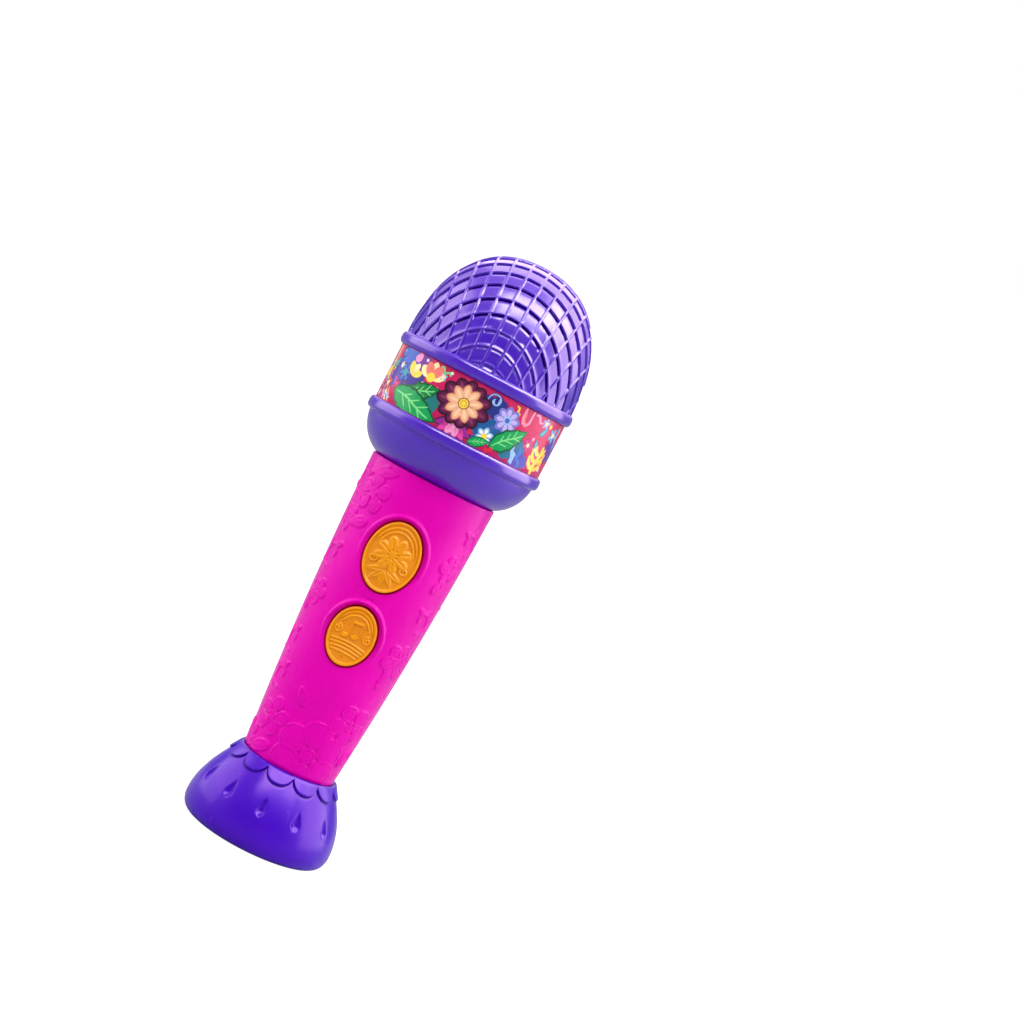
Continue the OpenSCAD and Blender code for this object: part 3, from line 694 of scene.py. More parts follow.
BOWL_R0, BOWL_Z0, BOWL_A, BOWL_B = 16.0, 138.5, 12.4, 13.9
bowl_t = np.radians(np.linspace(-70.4, -7.5, 46))
cup_profile = np.concatenate([
    [(17.7, 130.8), (17.7, 125.5), (17.8, 125.4), (19.9, 125.4)],
    np.stack([BOWL_R0 + BOWL_A * np.cos(bowl_t), BOWL_Z0 + BOWL_B * np.sin(bowl_t)], -1),
    [(28.36, 136.8), (28.45, 136.9)],
    rounded_ring(136.95, 140.9, 28.5, RING_R),
    [(28.4, 140.9), (28.2, 140.92), (28.2, 158.9), (26.4, 158.9), (26.4, 141), (25.6, 133),
     (19.6, 127.4), (19.6, 130.8), (17.7, 130.8)]])
add_piece("cup", *revolve(cup_profile), dome_plastic, "head_cup")

# ---------------------------------------------------------------- label

PRINT_STRIP = 1.5  # width of the flat strips that follow the curve
label_art = []  # (outline, colour, layer)


def print_shape(outline, colour, layer):
    label_art.append((np.asarray(outline), srgb(*colour), layer))


def print_disc(c, r, colour, layer):
    print_shape(circle(c, r), colour, layer)


def print_line(points, width, colour, layer, taper=0.35):
    print_shape(stroke(points, width, taper), colour, layer)


def print_flower(c, r, petals, outer, inner, eye, layer, turn=0.0, width=0.62):
    for k in range(petals):
        a = turn + 360 * k / petals
        print_shape(petal(c, a, r, r * width, 0.6), outer, layer)
        print_shape(petal(c, a, r * 0.8, r * width * 0.55, 0.6, r * 0.2), inner, layer + 1)
    print_shape(circle(c, r * 0.3), eye, layer + 2)


def print_leaf(c, angle, length, width, body, light, layer, teeth=0):
    print_shape(leaf(c, angle, length, width, teeth), shade_screen(body, 0.55), layer)
    print_shape(leaf(turned([(length * 0.03, 0)], angle, c)[0], angle, length * 0.93,
                     width * 0.82, teeth), body, layer + 1)
    rib = turned(np.stack([np.linspace(0.1, 0.85, 12) * length,
                           0.05 * width * np.sin(np.linspace(0, 5, 12))], -1), angle, c)
    print_line(rib, width * 0.07, light, layer + 2)
    for side in (-1, 1):
        for t in (0.25, 0.42, 0.6):
            start = turned([(length * t, 0)], angle, c)[0]
            vein = turned(np.stack([np.linspace(0, 0.16, 6) * length,
                                    side * np.linspace(0, 0.3, 6) ** 1.2 * width], -1),
                          angle, start)
            print_line(vein, width * 0.05, light, layer + 2)


def shade_screen(colour, factor):
    return tuple(c * factor for c in colour)


def print_note(c, size, colour, layer):
    """A generic eighth note."""
    print_shape(turned(circle((0, 0), size * 0.3, 24, 0.72), 20, c), colour, layer)
    stem = c + np.array([size * 0.25, 0])
    print_shape([stem, stem + (size * 0.09, 0), stem + (size * 0.09, size), stem + (0, size)],
                colour, layer)
    flag = stem + np.array([(0.05, 1.0), (0.2, 0.8), (0.42, 0.62), (0.4, 0.38)]) * size
    print_line(flag, size * 0.13, colour, layer)


def wave(x0, z0, x1, z1, swing, waves, n=40):
    t = np.linspace(0, 1, n)
    d = np.array([x1 - x0, z1 - z0])
    side = np.array([-d[1], d[0]]) / np.hypot(*d)
    return np.array([x0, z0]) + t[:, None] * d + np.sin(t * waves * TAU)[:, None] * swing * side


GREEN, LIME, TEAL = (10, 158, 84), (120, 215, 130), (20, 150, 160)
SKY, BLUE, NAVY = (150, 190, 235), (40, 110, 200), (45, 40, 120)
ROSE, PINK, SALMON = (225, 70, 160), (245, 150, 200), (240, 120, 110)
SUN, CREAM, PEACH = (248, 214, 70), (250, 232, 170), (240, 180, 140)
PLUM, WINE, LILAC = (52, 18, 44), (95, 25, 70), (190, 175, 235)
WHITE = (245, 240, 245)


def print_coral(c, size, body, edge, layer):
    """A branching plant, drawn as strokes with round ends."""
    for grow, colour, extra in ((1.5, edge, 0), (1.0, body, 1)):
        print_line(wave(c[0], c[1], c[0] + 0.1 * size, c[1] + size, 0.05 * size, 1),
                   0.2 * size * grow, colour, layer + extra)
        for side in (-1, 1):
            for t, reach in ((0.15, 0.5), (0.42, 0.46), (0.7, 0.32)):
                a = np.array([c[0], c[1] + t * size])
                arm = a + np.array([(0, 0), (0.5, 0.12), (0.85, 0.4), (1, 0.8)]) * (
                    side * reach * size, reach * size)
                print_line(arm, 0.15 * size * grow, colour, layer + extra)


def label_ground():
    """Large soft patches of colour that lie under the rest of the print."""
    patches = (((-33, 150), 7.5, (70, 60, 160)), ((-27, 156), 5.5, (40, 90, 190)),
               ((-19, 155.5), 5.0, (110, 40, 150)), ((-20, 149.5), 6.0, (50, 40, 140)),
               ((-12.5, 147.5), 5.0, (30, 120, 120)), ((6.8, 154.6), 4.6, (40, 50, 130)),
               ((7.4, 147.6), 5.6, (30, 90, 150)), ((17.5, 146.2), 5.6, (30, 110, 140)),
               ((22.5, 143.4), 4.4, (70, 60, 170)), ((37, 150), 6.0, (90, 50, 160)))
    for k, (c, r, colour) in enumerate(patches):
        t = np.arange(48) * TAU / 48
        wobble = r * (1 + 0.13 * np.sin(3 * t + k) + 0.07 * np.sin(7 * t + 2 * k))
        loop = np.stack([c[0] + wobble * np.cos(t), c[1] + 0.75 * wobble * np.sin(t)], -1)
        print_shape(loop, shade_screen((205, 40, 120), 0.8), 0)
        print_shape(c + (loop - c) * 0.9, colour, 0.5)


def label_front():
    """The print on the side that the photo shows, drawn at (distance round the label, height)."""
    label_ground()
    for k, (s, width, colour) in enumerate(((-40.5, 1.2, SALMON), (-38.2, 0.9, PINK),
                                            (-36.3, 1.1, CREAM), (-34.4, 1.2, SALMON))):
        line = [(s + 0.4, 158.6), (s, 153), (s + 1.6, 147.5), (s + 5.4, 143.4), (s + 6.6, 141)]
        print_line(line, width, colour, 1, 0.1)
    print_disc((-30.4, 157.0), 1.7, NAVY, 1)
    print_disc((-30.5, 157.1), 1.4, BLUE, 2)
    print_disc((-30.9, 157.6), 0.45, SKY, 3)
    print_flower((-25.4, 151.6), 3.7, 6, NAVY, BLUE, TEAL, 1, 12)
    for k, a in enumerate((20, 65, 110)):
        print_shape(petal((-22.4, 151.8), a, 4.4, 2.4), SUN if k != 1 else CREAM, 4)
    for k in range(5):
        print_shape(petal((-14.8, 153.2), 30 + 30 * k, 5.4, 3.0), (CREAM, SALMON)[k % 2],
                    4 + k % 2)
    print_disc((-14.8, 153.6), 1.5, SUN, 6)
    for x, z in ((-16.6, 150.9), (-11.2, 151.3), (-18.6, 157.8), (-8.9, 157.6)):
        print_disc((x, z), 0.5, WHITE, 3)
    print_leaf((-21.4, 145.6), 27, 13.0, 6.8, (16, 130, 64), LIME, 7, 5)
    print_leaf((-26.8, 146.0), -11, 20.5, 9.6, GREEN, LIME, 10, 7)
    print_line(wave(-33.5, 143.0, -27.5, 142.6, 0.6, 2), 0.7, SKY, 3)
    for s, z, r, colour in ((-36.6, 142.6, 1.6, ROSE), (-32.6, 146.4, 1.5, SALMON),
                            (-33.4, 152.6, 1.3, SUN), (-28.6, 153.2, 0.7, WHITE),
                            (-17.6, 148.6, 1.2, ROSE), (-11.0, 155.4, 0.9, SKY),
                            (14.8, 147.6, 0.9, SUN), (23.6, 148.8, 1.2, ROSE),
                            (27.6, 148.6, 1.1, SALMON), (27.0, 157.2, 1.2, LILAC),
                            (33.6, 154.8, 1.6, SKY), (35.4, 143.6, 1.5, ROSE)):
        print_flower((s, z), r * 1.7, 5, shade_screen(colour, 0.75), colour, CREAM, 3, 30 * s)
    print_line(spiral((-36.8, 149.6), 2.0, 0.5, 20, 1.3), 0.8, SUN, 4)
    print_line(spiral((-22.6, 157.4), 1.7, 0.4, 90, -1.2), 0.7, PINK, 4)
    print_line(wave(-13.0, 157.9, -9.0, 156.6, 0.5, 1.5), 0.7, LIME, 3)
    print_line(wave(13.6, 157.9, 15.4, 156.0, 0.4, 1), 0.7, SUN, 3)
    print_leaf((-31.4, 155.0), 235, 4.8, 2.4, TEAL, SKY, 5)
    print_leaf((14.2, 145.0), 95, 4.4, 2.2, LIME, CREAM, 5)
    print_leaf((28.8, 147.0), 120, 5.4, 2.4, TEAL, SKY, 3)
    print_line(wave(-29.5, 149.0, -26.5, 146.4, 0.5, 1.5), 0.6, ROSE, 3)

    bloom = np.array((-1.6, 151.2))
    for k in range(11):
        a = 90 + 360 * k / 11
        wide = 1.28 - 0.22 * abs(math.sin(math.radians(a)))
        for layer, (length, width, start, colour) in enumerate(
                ((7.2, 4.7, 0, PLUM), (6.6, 3.1, 2, WINE), (6.0, 1.1, 3, (130, 50, 95))), 13):
            print_shape(petal(bloom, a, length * wide, width, 0.55, start), colour, layer)
    for k in range(9):
        for layer, (length, width, start, colour) in enumerate(
                ((5.9, 3.1, 0, (205, 125, 95)), (5.5, 2.4, 0, PEACH),
                 (4.6, 0.8, 1.5, (250, 205, 165))), 16):
            print_shape(petal(bloom, 20 + 40 * k, length, width, 0.6, start), colour, layer)
    print_disc(bloom, 1.75, (150, 70, 60), 19)
    print_disc(bloom, 1.45, SUN, 20)
    for k in range(8):
        spot = bloom + 0.9 * np.array([math.cos(k * TAU / 8), math.sin(k * TAU / 8)])
        print_shape(circle(spot, 0.2, 10), (190, 110, 50), 21)
    for a, length, colour in ((200, 7.0, (150, 40, 140)), (-20, 7.0, (150, 40, 140)),
                              (222, 6.4, ROSE), (-42, 6.4, ROSE), (250, 5.0, PINK),
                              (-70, 5.0, PINK)):
        print_shape(leaf((-1.2, 145.0), a, length, 3.4), shade_screen(colour, 0.6), 9)
        print_shape(leaf((-1.2, 144.9), a, length * 0.9, 2.5), colour, 10)

    for width, colour, layer in ((0.9, NAVY, 4), (0.45, SKY, 5)):
        print_line(spiral((6.6, 156.2), 2.4, 0.5, 200, -1.2), width, colour, layer)
    print_flower((12.6, 152.6), 4.4, 8, (120, 120, 205), LILAC, SKY, 6, 10, 0.6)
    print_disc((12.6, 152.6), 0.8, (90, 90, 190), 9)
    print_line([(9.6, 148.9), (8.2, 146.6), (6.6, 144.6), (5.2, 143.4)], 2.2, (60, 90, 160), 4)
    print_flower((8.3, 145.3), 2.9, 6, (140, 190, 225), WHITE, SUN, 6, 30)
    print_leaf((4.2, 141.6), 24, 7.0, 3.4, GREEN, LIME, 9)
    for x, z in ((3.8, 144.6), (10.6, 141.9), (11.9, 142.6)):
        print_disc((x, z), 0.75, (215, 40, 60), 12)
    print_leaf((10.8, 143.0), 42, 13.8, 7.4, GREEN, LIME, 10, 4)
    for width, colour, layer in ((1.0, NAVY, 3), (0.6, SKY, 4)):
        print_line(wave(18.2, 148.6, 20.6, 141.6, 0.9, 2), width, colour, layer)
    print_line(wave(21.4, 147.0, 23.0, 141.4, 0.8, 1.5), 0.9, BLUE, 3)
    bend = [(17.0, 158.6), (17.1, 155.6), (17.7, 154.1), (18.9, 153.8), (19.9, 154.8),
            (20.1, 158.6)]
    print_line(bend, 1.25, SALMON, 3)
    print_line(bend, 0.65, PINK, 4)
    print_line(wave(21.4, 158.2, 25.2, 156.8, 0.5, 1), 0.9, PINK, 3)
    print_leaf((26.4, 152.8), 52, 4.4, 2.2, TEAL, SKY, 3)
    print_coral((31.0, 141.4), 8.6, SUN, SALMON, 4)
    print_disc((24.6, 151.2), 0.6, PINK, 3)
    print_disc((29.9, 156.9), 0.7, SUN, 3)
    print_line(wave(36.5, 158.0, 38.0, 151.0, 0.7, 1.5), 0.8, SKY, 3)


FRONT_REACH = 42  # how far label_front's print goes to each side
BACK_MOTIFS = 8


def label_back():
    """A row of motifs of the same kinds round the rest of the label."""
    reach = TAU * LABEL_R - 2 * FRONT_REACH
    for k in range(BACK_MOTIFS):
        s = FRONT_REACH + reach * (k + 0.5) / BACK_MOTIFS
        high, low = (154.6, 145.4) if k % 2 else (146.2, 154.4)
        outer, inner, eye = ((NAVY, BLUE, SUN), (ROSE, PINK, SUN), (SALMON, CREAM, ROSE),
                             ((120, 120, 205), LILAC, SKY))[k % 4]
        print_flower((s, high), 3.6, 6 + k % 3, outer, inner, eye, 4, 17 * k)
        print_leaf((s - 3.2, low - 1.6), 20 + 12 * (k % 3), 7.6, 3.6, GREEN, LIME, 7, 3)
        print_note(np.array((s + 3.6, high - 1.2)), 3.4, WHITE if k % 2 else SUN, 3)
        print_line(wave(s + 1.8, low + 2, s + 5.4, low - 2.6, 0.7, 1.5), 0.8, SKY, 3)
        print_disc((s - 4.6, high + 1.5), 0.6, PINK, 3)


def build_label():
    """The label's band, and its print as flat outlines that are cut in strips and bent round."""
    seam = 0.3 / LABEL_R
    phi = np.linspace(-math.pi + seam / 2, math.pi - seam / 2, 361)
    lower = [(LABEL_R - 0.19, 0), (LABEL_R - 0.05, 0.02), (LABEL_R, 0.12)]
    profile = [(r, LABEL_Z0 + d) for r, d in lower] + [(r, LABEL_Z1 - d) for r, d in lower[::-1]]
    r, z = (np.array(profile)[:, k][:, None] for k in (0, 1))
    verts = np.stack([r * np.sin(phi), -r * np.cos(phi), z + 0 * phi], -1).reshape(-1, 3)
    film = printed_film("label_film", srgb(200, 8, 88))
    add_piece("label_ground", verts, grid_faces(len(profile), len(phi)), film, "label_band")

    mesh = bpy.data.meshes.new("label_print")
    with editing(mesh) as bm:
        tint = bm.faces.layers.float_color.new("Tint")
        for outline, colour, layer in label_art:
            loop = [bm.verts.new((u * MM, layer * MM, v * MM)) for u, v in outline]
            bm.faces.new(loop)[tint] = (*colour, 1)
        bmesh.ops.triangulate(bm, faces=bm.faces[:], ngon_method="EAR_CLIP")
        for z, sign in ((LABEL_Z0 + 0.15, -1), (LABEL_Z1 - 0.15, 1)):
            cut(bm, (0, 0, z), (0, 0, sign), clear_outer=True)
        low = min(v.co.x for v in bm.verts) / MM
        high = max(v.co.x for v in bm.verts) / MM
        for s in np.arange(math.ceil(low / PRINT_STRIP) * PRINT_STRIP, high, PRINT_STRIP):
            cut(bm, (s, 0, 0), (1, 0, 0))
        bmesh.ops.dissolve_degenerate(bm, edges=bm.edges, dist=0.002 * MM)
        for v in bm.verts:
            a = v.co.x / MM / LABEL_R
            r = (LABEL_R + 0.012 + 0.006 * v.co.y / MM) * MM
            v.co = Vector((r * math.sin(a), -r * math.cos(a), v.co.z))
        bmesh.ops.recalc_face_normals(bm, faces=bm.faces[:])
        for f in bm.faces:
            middle = f.calc_center_median()
            if f.normal.x * middle.x + f.normal.y * middle.y < 0:
                f.normal_flip()
    ink = show("label_print", mesh, printed_film("label_ink", (0.5, 0.5, 0.5), 0.1, "Tint"))
    settle(ink, "label_band", "housing")


label_front()
label_back()
build_label()

# ---------------------------------------------------------------- curved sheets with oval holes


def sheet(phi, z, radius, holes, rings=26, margin=3.2):
    """Faces over a grid of points (phi, z) on a turned surface, with an oval left out per hole.

    A hole is (x, z, half width, half height). Returns the points as phi and z, the faces, and
    the loop of points round each oval.
    """
    rows, cols = phi.shape
    zz = np.broadcast_to(z[:, None], phi.shape)
    x = radius(zz) * np.sin(phi)
    faces = grid_faces(rows, cols)
    keep = np.ones(len(faces), bool)
    all_phi, all_z, extra, rims = [phi.ravel()], [zz.ravel()], [], []
    start = rows * cols
    for hx, hz, ha, hb in holes:
        i0 = int(np.searchsorted(z, hz - hb - margin)) - 1
        i1 = int(np.searchsorted(z, hz + hb + margin))
        i0, i1 = max(i0, 0), min(i1, rows - 1)
        middle = x[(i0 + i1) // 2]
        j0 = int(np.searchsorted(middle, hx - ha - margin)) - 1
        j1 = int(np.searchsorted(middle, hx + ha + margin))
        first, loop = block_of(cols, i0, i1, j0, j1)
        keep &= ~np.isin(faces[:, 0], first)
        m = len(loop)
        qx, qz = x.ravel()[loop], zz.ravel()[loop]
        t = np.arctan2((qz - hz) / hb, (qx - hx) / ha)
        ex, ez = hx + ha * np.cos(t), hz + hb * np.sin(t)
        last = loop
        for g in (np.linspace(1, 0, rings + 1) ** 1.25)[1:]:
            px, pz = ex + (qx - ex) * g, ez + (qz - ez) * g
            all_phi.append(np.arcsin(np.clip(px / radius(pz), -1, 1)))
            all_z.append(pz)
            ring = start + np.arange(m)
            extra.append(np.stack([last, np.roll(last, -1), np.roll(ring, -1), ring], -1))
            last, start = ring, start + m
        rims.append(last)
    faces = np.concatenate([faces[keep]] + extra)
    return np.concatenate(all_phi), np.concatenate(all_z), faces, rims


def unit(vectors):
    return vectors / np.linalg.norm(vectors, axis=1, keepdims=True)


def place(phi, z, r, side):
    """Points of a turned surface: side is -1 for the front and 1 for the rear."""
    return np.stack([r * np.sin(phi), side * r * np.cos(phi), z], -1)


def walls(verts, loop, shifts, flip=False, wrap=True):
    """Rows of faces that carry a loop of points on through some shifts."""
    verts, faces = np.asarray(verts), []
    start, last, base = len(verts), np.asarray(loop), np.asarray(verts)[loop]
    rows = [verts]
    for shift in shifts:
        rows.append(base + shift)
        ring = start + np.arange(len(last))
        a, b, c, d = last, np.roll(last, -1), np.roll(ring, -1), ring
        quads = np.stack([a, b, c, d], -1)
        quads = quads if wrap else quads[:-1]
        faces.append(quads[:, ::-1] if flip else quads)
        start, last = start + len(ring), ring
    return np.concatenate(rows), np.concatenate(faces), last


def oval_distance(x, z, hole):
    """Rough distance outside an oval, in mm."""
    hx, hz, ha, hb = hole
    q = np.maximum(np.hypot((x - hx) / ha, (z - hz) / hb), 1e-6)
    return (1 - 1 / q) * np.hypot(x - hx, z - hz)

# ---------------------------------------------------------------- handle

BEZEL_AT, BEZEL_HALF, BEZEL_HEIGHT = 1.6, 0.88, 0.85
RELIEF_LINE = (0.5, 0.42)  # half width and height of the raised lines
RELIEF_PILLOW = (0.75, 0.34)  # shoulder and height of the raised shapes
SCREW_HOLE_R = 2.55
SCREW_SEAT_Y = 8.2
SHELL_SCREWS = [(-10, 114.5), (10, 114.5), (0, 36)]
PARTING_GAP = 0.04


def flower_lines(c, r, petals, turn=0.0, width=0.62):
    lines = [closed(petal(c, turn + 360 * k / petals, r, r * width, 0.6, r * 0.24))
             for k in range(petals)]
    return lines + [closed(circle(c, r * 0.2, 20))]


def leaf_lines(c, angle, length, width):
    rib = turned([(0, 0), (length * 0.85, 0)], angle, c)
    return [closed(leaf(c, angle, length, width)), rib]


def sprig(x, z, angle, length, mirror=1):
    """A curling stem with leaves, as generic raised decoration."""
    stem = spiral((0, 0), length * 0.55, length * 0.12, 180, -0.85 * mirror, 36)
    stem = turned(stem, angle, (x, z))
    lines = [stem]
    for k in (4, 12, 20):
        along = stem[k + 1] - stem[k]
        a = math.degrees(math.atan2(along[1], along[0]))
        lines.append(closed(leaf(stem[k], a + 48 * mirror, length * 0.32, length * 0.14, n=14)))
    return lines


FRONT_ART = (
    flower_lines((-15.5, 114.5), 6.4, 5, 20) + flower_lines((-21.5, 104.5), 4.4, 5, 60)
    + leaf_lines((-12.5, 105.6), 200, 6.5, 3.0) + leaf_lines((-17.5, 121.4), 10, 7.5, 3.0)
    + sprig(-23.5, 116.5, 70, 9) + sprig(-20.5, 92, 80, 9) + flower_lines((-18.8, 79.5), 4.2, 5, 0)
    + leaf_lines((-21.5, 72.5), 110, 6, 2.6) + sprig(-19.5, 63, 95, 8)
    + flower_lines((20.5, 103.5), 4.6, 5, 35) + sprig(22.5, 113.5, 110, 8, -1)
    + leaf_lines((17.5, 95), 60, 5.5, 2.6) + sprig(19.5, 85.5, 100, 8, -1)
    + flower_lines((18.5, 70.5), 6.2, 6, 10) + leaf_lines((15.5, 61), 70, 6, 2.8)
    + flower_lines((4.6, 33.0), 11.5, 6, 30, 0.74) + flower_lines((-11.8, 39.0), 6.2, 5, 12)
    + flower_lines((13.6, 46.5), 7.2, 5, 50, 0.7) + leaf_lines((-7.5, 30.5), 205, 8.5, 3.4)
    + sprig(-16.5, 51.5, 100, 8) + leaf_lines((17.0, 33), 60, 7.0, 3.0)
    + flower_lines((-19.5, 30.0), 5.0, 5, 40) + leaf_lines((-3.4, 46.5), 120, 6.0, 2.6))
REAR_ART = (
    flower_lines((-21.5, 112), 5.0, 5, 20) + sprig(-22.5, 98, 80, 9)
    + flower_lines((-20.8, 84), 4.8, 6, 0) + leaf_lines((-21, 74), 100, 6.5, 2.8)
    + sprig(-19.5, 62, 95, 8) + flower_lines((-17.8, 47), 4.6, 5, 40)
    + flower_lines((21.5, 106), 5.0, 5, 45) + sprig(22.5, 93, 100, 9, -1)
    + flower_lines((20.4, 78), 4.8, 6, 15) + leaf_lines((19.6, 66), 85, 6.5, 2.8)
    + sprig(18.6, 56, 100, 8, -1) + flower_lines((13.0, 36.5), 6.0, 5, 10)
    + flower_lines((-12.0, 36.0), 6.0, 5, 50) + leaf_lines((-3, 28.5), 170, 7, 2.8)
    + leaf_lines((3, 28.5), 10, 7, 2.8) + leaf_lines((0, 115.5), 90, 7.5, 3.4)
    + leaf_lines((-3.0, 117), 150, 4.6, 2.2) + leaf_lines((3.0, 117), 30, 4.6, 2.2))


def bezel_lift(x, z):
    """Ridge round each button, which fades out below it."""
    lift = np.zeros_like(x)
    for zc, a, b in (UPPER, LOWER):
        e = oval_distance(x, z, (0, zc, a, b))
        ridge = BEZEL_HEIGHT * np.clip(1 - ((e - BEZEL_AT) / BEZEL_HALF) ** 2, 0, 1) ** 1.3
        lift += ridge * smooth(zc - 0.75 * b, zc + 0.55 * b, z)
    return lift


def build_half(name, node, side, art, opening=None):
    """One half of the handle; opening is the door's (half width, lower edge, upper edge).

    It is one sheet, with walls turned inward at the holes, the opening and all four edges.
    """
    pitch = 0.4
    z = np.arange(HANDLE_Z0, HANDLE_Z1 + pitch / 2, pitch)
    z = np.concatenate([z[:-1], [HANDLE_Z0 + 0.12, HANDLE_Z1 - 0.35, HANDLE_Z1 - 0.12, HANDLE_Z1]])
    if opening:
        half, low, high = opening
        z = np.concatenate([z[np.abs(z - low) > 0.3], [low, low - 0.2]])
        z = np.concatenate([z[np.abs(z - high) > 0.3], [high, high + 0.2]])
    z = np.unique(z.round(4))
    edge = math.pi / 2 - np.array([0.45, 0.28, 0.12, 0]) / 19
    if opening:
        corner = np.arcsin(half / handle_r(z))
        inner = np.linspace(-1, 1, 63)
        outer = np.concatenate([[0.006], np.linspace(0.02, 0.93, 40),
                                (edge - 0.7) / (math.pi / 2 - 0.7)])
        right = corner[:, None] + (math.pi / 2 - corner[:, None]) * outer
        phi = np.concatenate([-right[:, ::-1], corner[:, None] * inner, right], 1)
        holes = [(x, zc, SCREW_HOLE_R, SCREW_HOLE_R) for x, zc in SHELL_SCREWS]
    else:
        across = np.linspace(-edge[0] + 0.02, edge[0] - 0.02, 146)
        across = np.concatenate([-edge[::-1], across, edge])
        phi = np.repeat(across[None, :], len(z), 0)
        holes = [(0, zc, a + BUTTON_GAP, b + BUTTON_GAP) for zc, a, b in (UPPER, LOWER)]
    margin = 1.6 if opening else 3.2
    p, zz, faces, rims = sheet(phi, z, handle_r, holes, 14 if opening else 26, margin)
    r = handle_r(zz)
    x, s = r * np.sin(p), r * p
    clear = np.ones_like(x)
    lift = np.zeros_like(x)
    shadow = np.zeros_like(x)
    for hole in holes:
        e = oval_distance(x, zz, hole)
        clear *= smooth(0.8, 2.6, e)
        lift -= 0.28 * np.clip(1 - np.maximum(e, 0) / 0.3, 0, 1) ** 2
        if not opening:
            shadow = np.maximum(shadow, 0.8 * (1 - smooth(0.15, 0.5, e)))
    if opening:
        off = np.hypot(np.maximum(np.abs(x) - half, 0),
                       np.maximum(np.maximum(low - zz, zz - high), 0))
        clear *= smooth(0.6, 1.6, off)
        lift -= 0.2 * np.clip(1 - off / 0.22, 0, 1) ** 2
    else:
        lift += bezel_lift(x, zz)
        for zc, a, b in (UPPER, LOWER):
            clear *= smooth(2.2, 4.2, oval_distance(x, zz, (0, zc, a, b)))
    raised = relief(s, zz, art, *RELIEF_LINE)
    for line in art:
        if len(line) > 12 and np.hypot(*(line[0] - line[-1])) < 1e-6:
            raised = np.maximum(raised, pillow(s, zz, line, *RELIEF_PILLOW))
    seam = (math.pi / 2 - np.abs(p)) * r
    lift += raised * clear * smooth(0.3, 1.5, seam) * smooth(HANDLE_Z0, HANDLE_Z0 + 1, zz)
    lift -= 0.3 * np.clip(1 - seam / 0.42, 0, 1)
    lift -= 0.25 * np.clip(1 - (HANDLE_Z1 - zz) / 0.35, 0, 1) ** 2
    verts = place(p, zz, r + lift, side)
    verts[:, 1] = side * np.maximum(side * verts[:, 1], PARTING_GAP)

    rows, cols = phi.shape
    if opening:
        i0, i1 = (int(np.argmin(np.abs(z - v))) for v in (low, high))
        j0, j1 = (int(np.argmin(np.abs(phi[0] - v))) for v in (-corner[0], corner[0]))
        first, loop = block_of(cols, i0, i1, j0, j1)
        faces = faces[~np.isin(faces[:, 0], first)]
    parts = [faces]
    inward = np.array([0, -side, 0])
    skin_end = len(verts)
    for rim in rims:
        depth = (0.1, 3.0, 6.0) if opening else (0.1, 1.2, 2.2)
        verts, ring, last = walls(verts, rim, [inward * d for d in depth])
        parts.append(ring)
        if opening:
            verts = np.concatenate([verts, [[verts[last][:, 0].mean(), SCREW_SEAT_Y + 0.6,
                                             verts[last][:, 2].mean()]]])
            hub = len(verts) - 1
            verts[last, 1] = SCREW_SEAT_Y
            parts.append([(last[k], last[(k + 1) % len(last)], hub) for k in range(len(last))])
    wall_end = len(verts)
    if opening:
        normal = unit(verts[loop] * [1, 1, 0])
        verts, ring, last = walls(verts, loop, [-normal * d for d in (0.12, 1.0, 1.9)])
        parts.append(ring)
        back = unit((verts[last] - verts[last].mean(0)) * [1, 0, 1])
        verts, ring, last = walls(verts, last, [back * 1.5])
        parts.append(ring)
    edge_walls = []
    for j, flip in ((0, False), (cols - 1, True)):
        line = np.arange(rows) * cols + j
        inner = -np.sign(verts[line[0]][0]) * np.array([1.0, 0, 0])
        edge_walls.append((line, [inner * d for d in (0.5, 1.5)], flip))
    top, bottom = (rows - 1) * cols + np.arange(cols), np.arange(cols)
    normal = unit(verts[top] * [1, 1, 0])
    edge_walls.append((top, [-normal * d for d in (1.0, 3.4)], False))
    normal = unit(verts[bottom] * [1, 1, 0])
    edge_walls.append((bottom, [-normal * 0.8 + [0, 0, -0.05]], True))
    for line, shifts, flip in edge_walls:
        verts, ring, _ = walls(verts, line, shifts, flip, wrap=False)
        parts.append(ring)
    # painted shade: a dark red band round each button hole on the front skin, and the walls of the
    # button holes
    hollow = np.zeros(len(verts))
    hollow[:skin_end] = shadow
    hollow[skin_end:wall_end] = 0 if opening else 0.8
    add_piece(name, verts, flat(parts, side > 0), handle_plastic, node, sharp=42, hollow=hollow)


DOOR_HALF = door_high[0] + 0.2
DOOR_Z0 = 45.5
DOOR_Z1 = door_high[2] + 0.2
build_half("handle_front_skin", "handle_front", -1, FRONT_ART)
build_half("handle_rear_skin", "handle_rear", 1, REAR_ART, (DOOR_HALF, DOOR_Z0, DOOR_Z1))

# ---------------------------------------------------------------- battery tray in the rear half

TRAY_X, TRAY_RAIL, TRAY_FLOOR = 11.05, 1.85, (0.6, 1.8)
TRAY_Z0, TRAY_Z1, TRAY_END = 49.8, 99.0, 1.5
CELL_X = 5.5
DOOR_SCREW_Z = 103.3
DOOR_BOSS_Y = 17.0
POST_R, POST_Y, POST_HOLE = 3.2, 12.8, 1.7


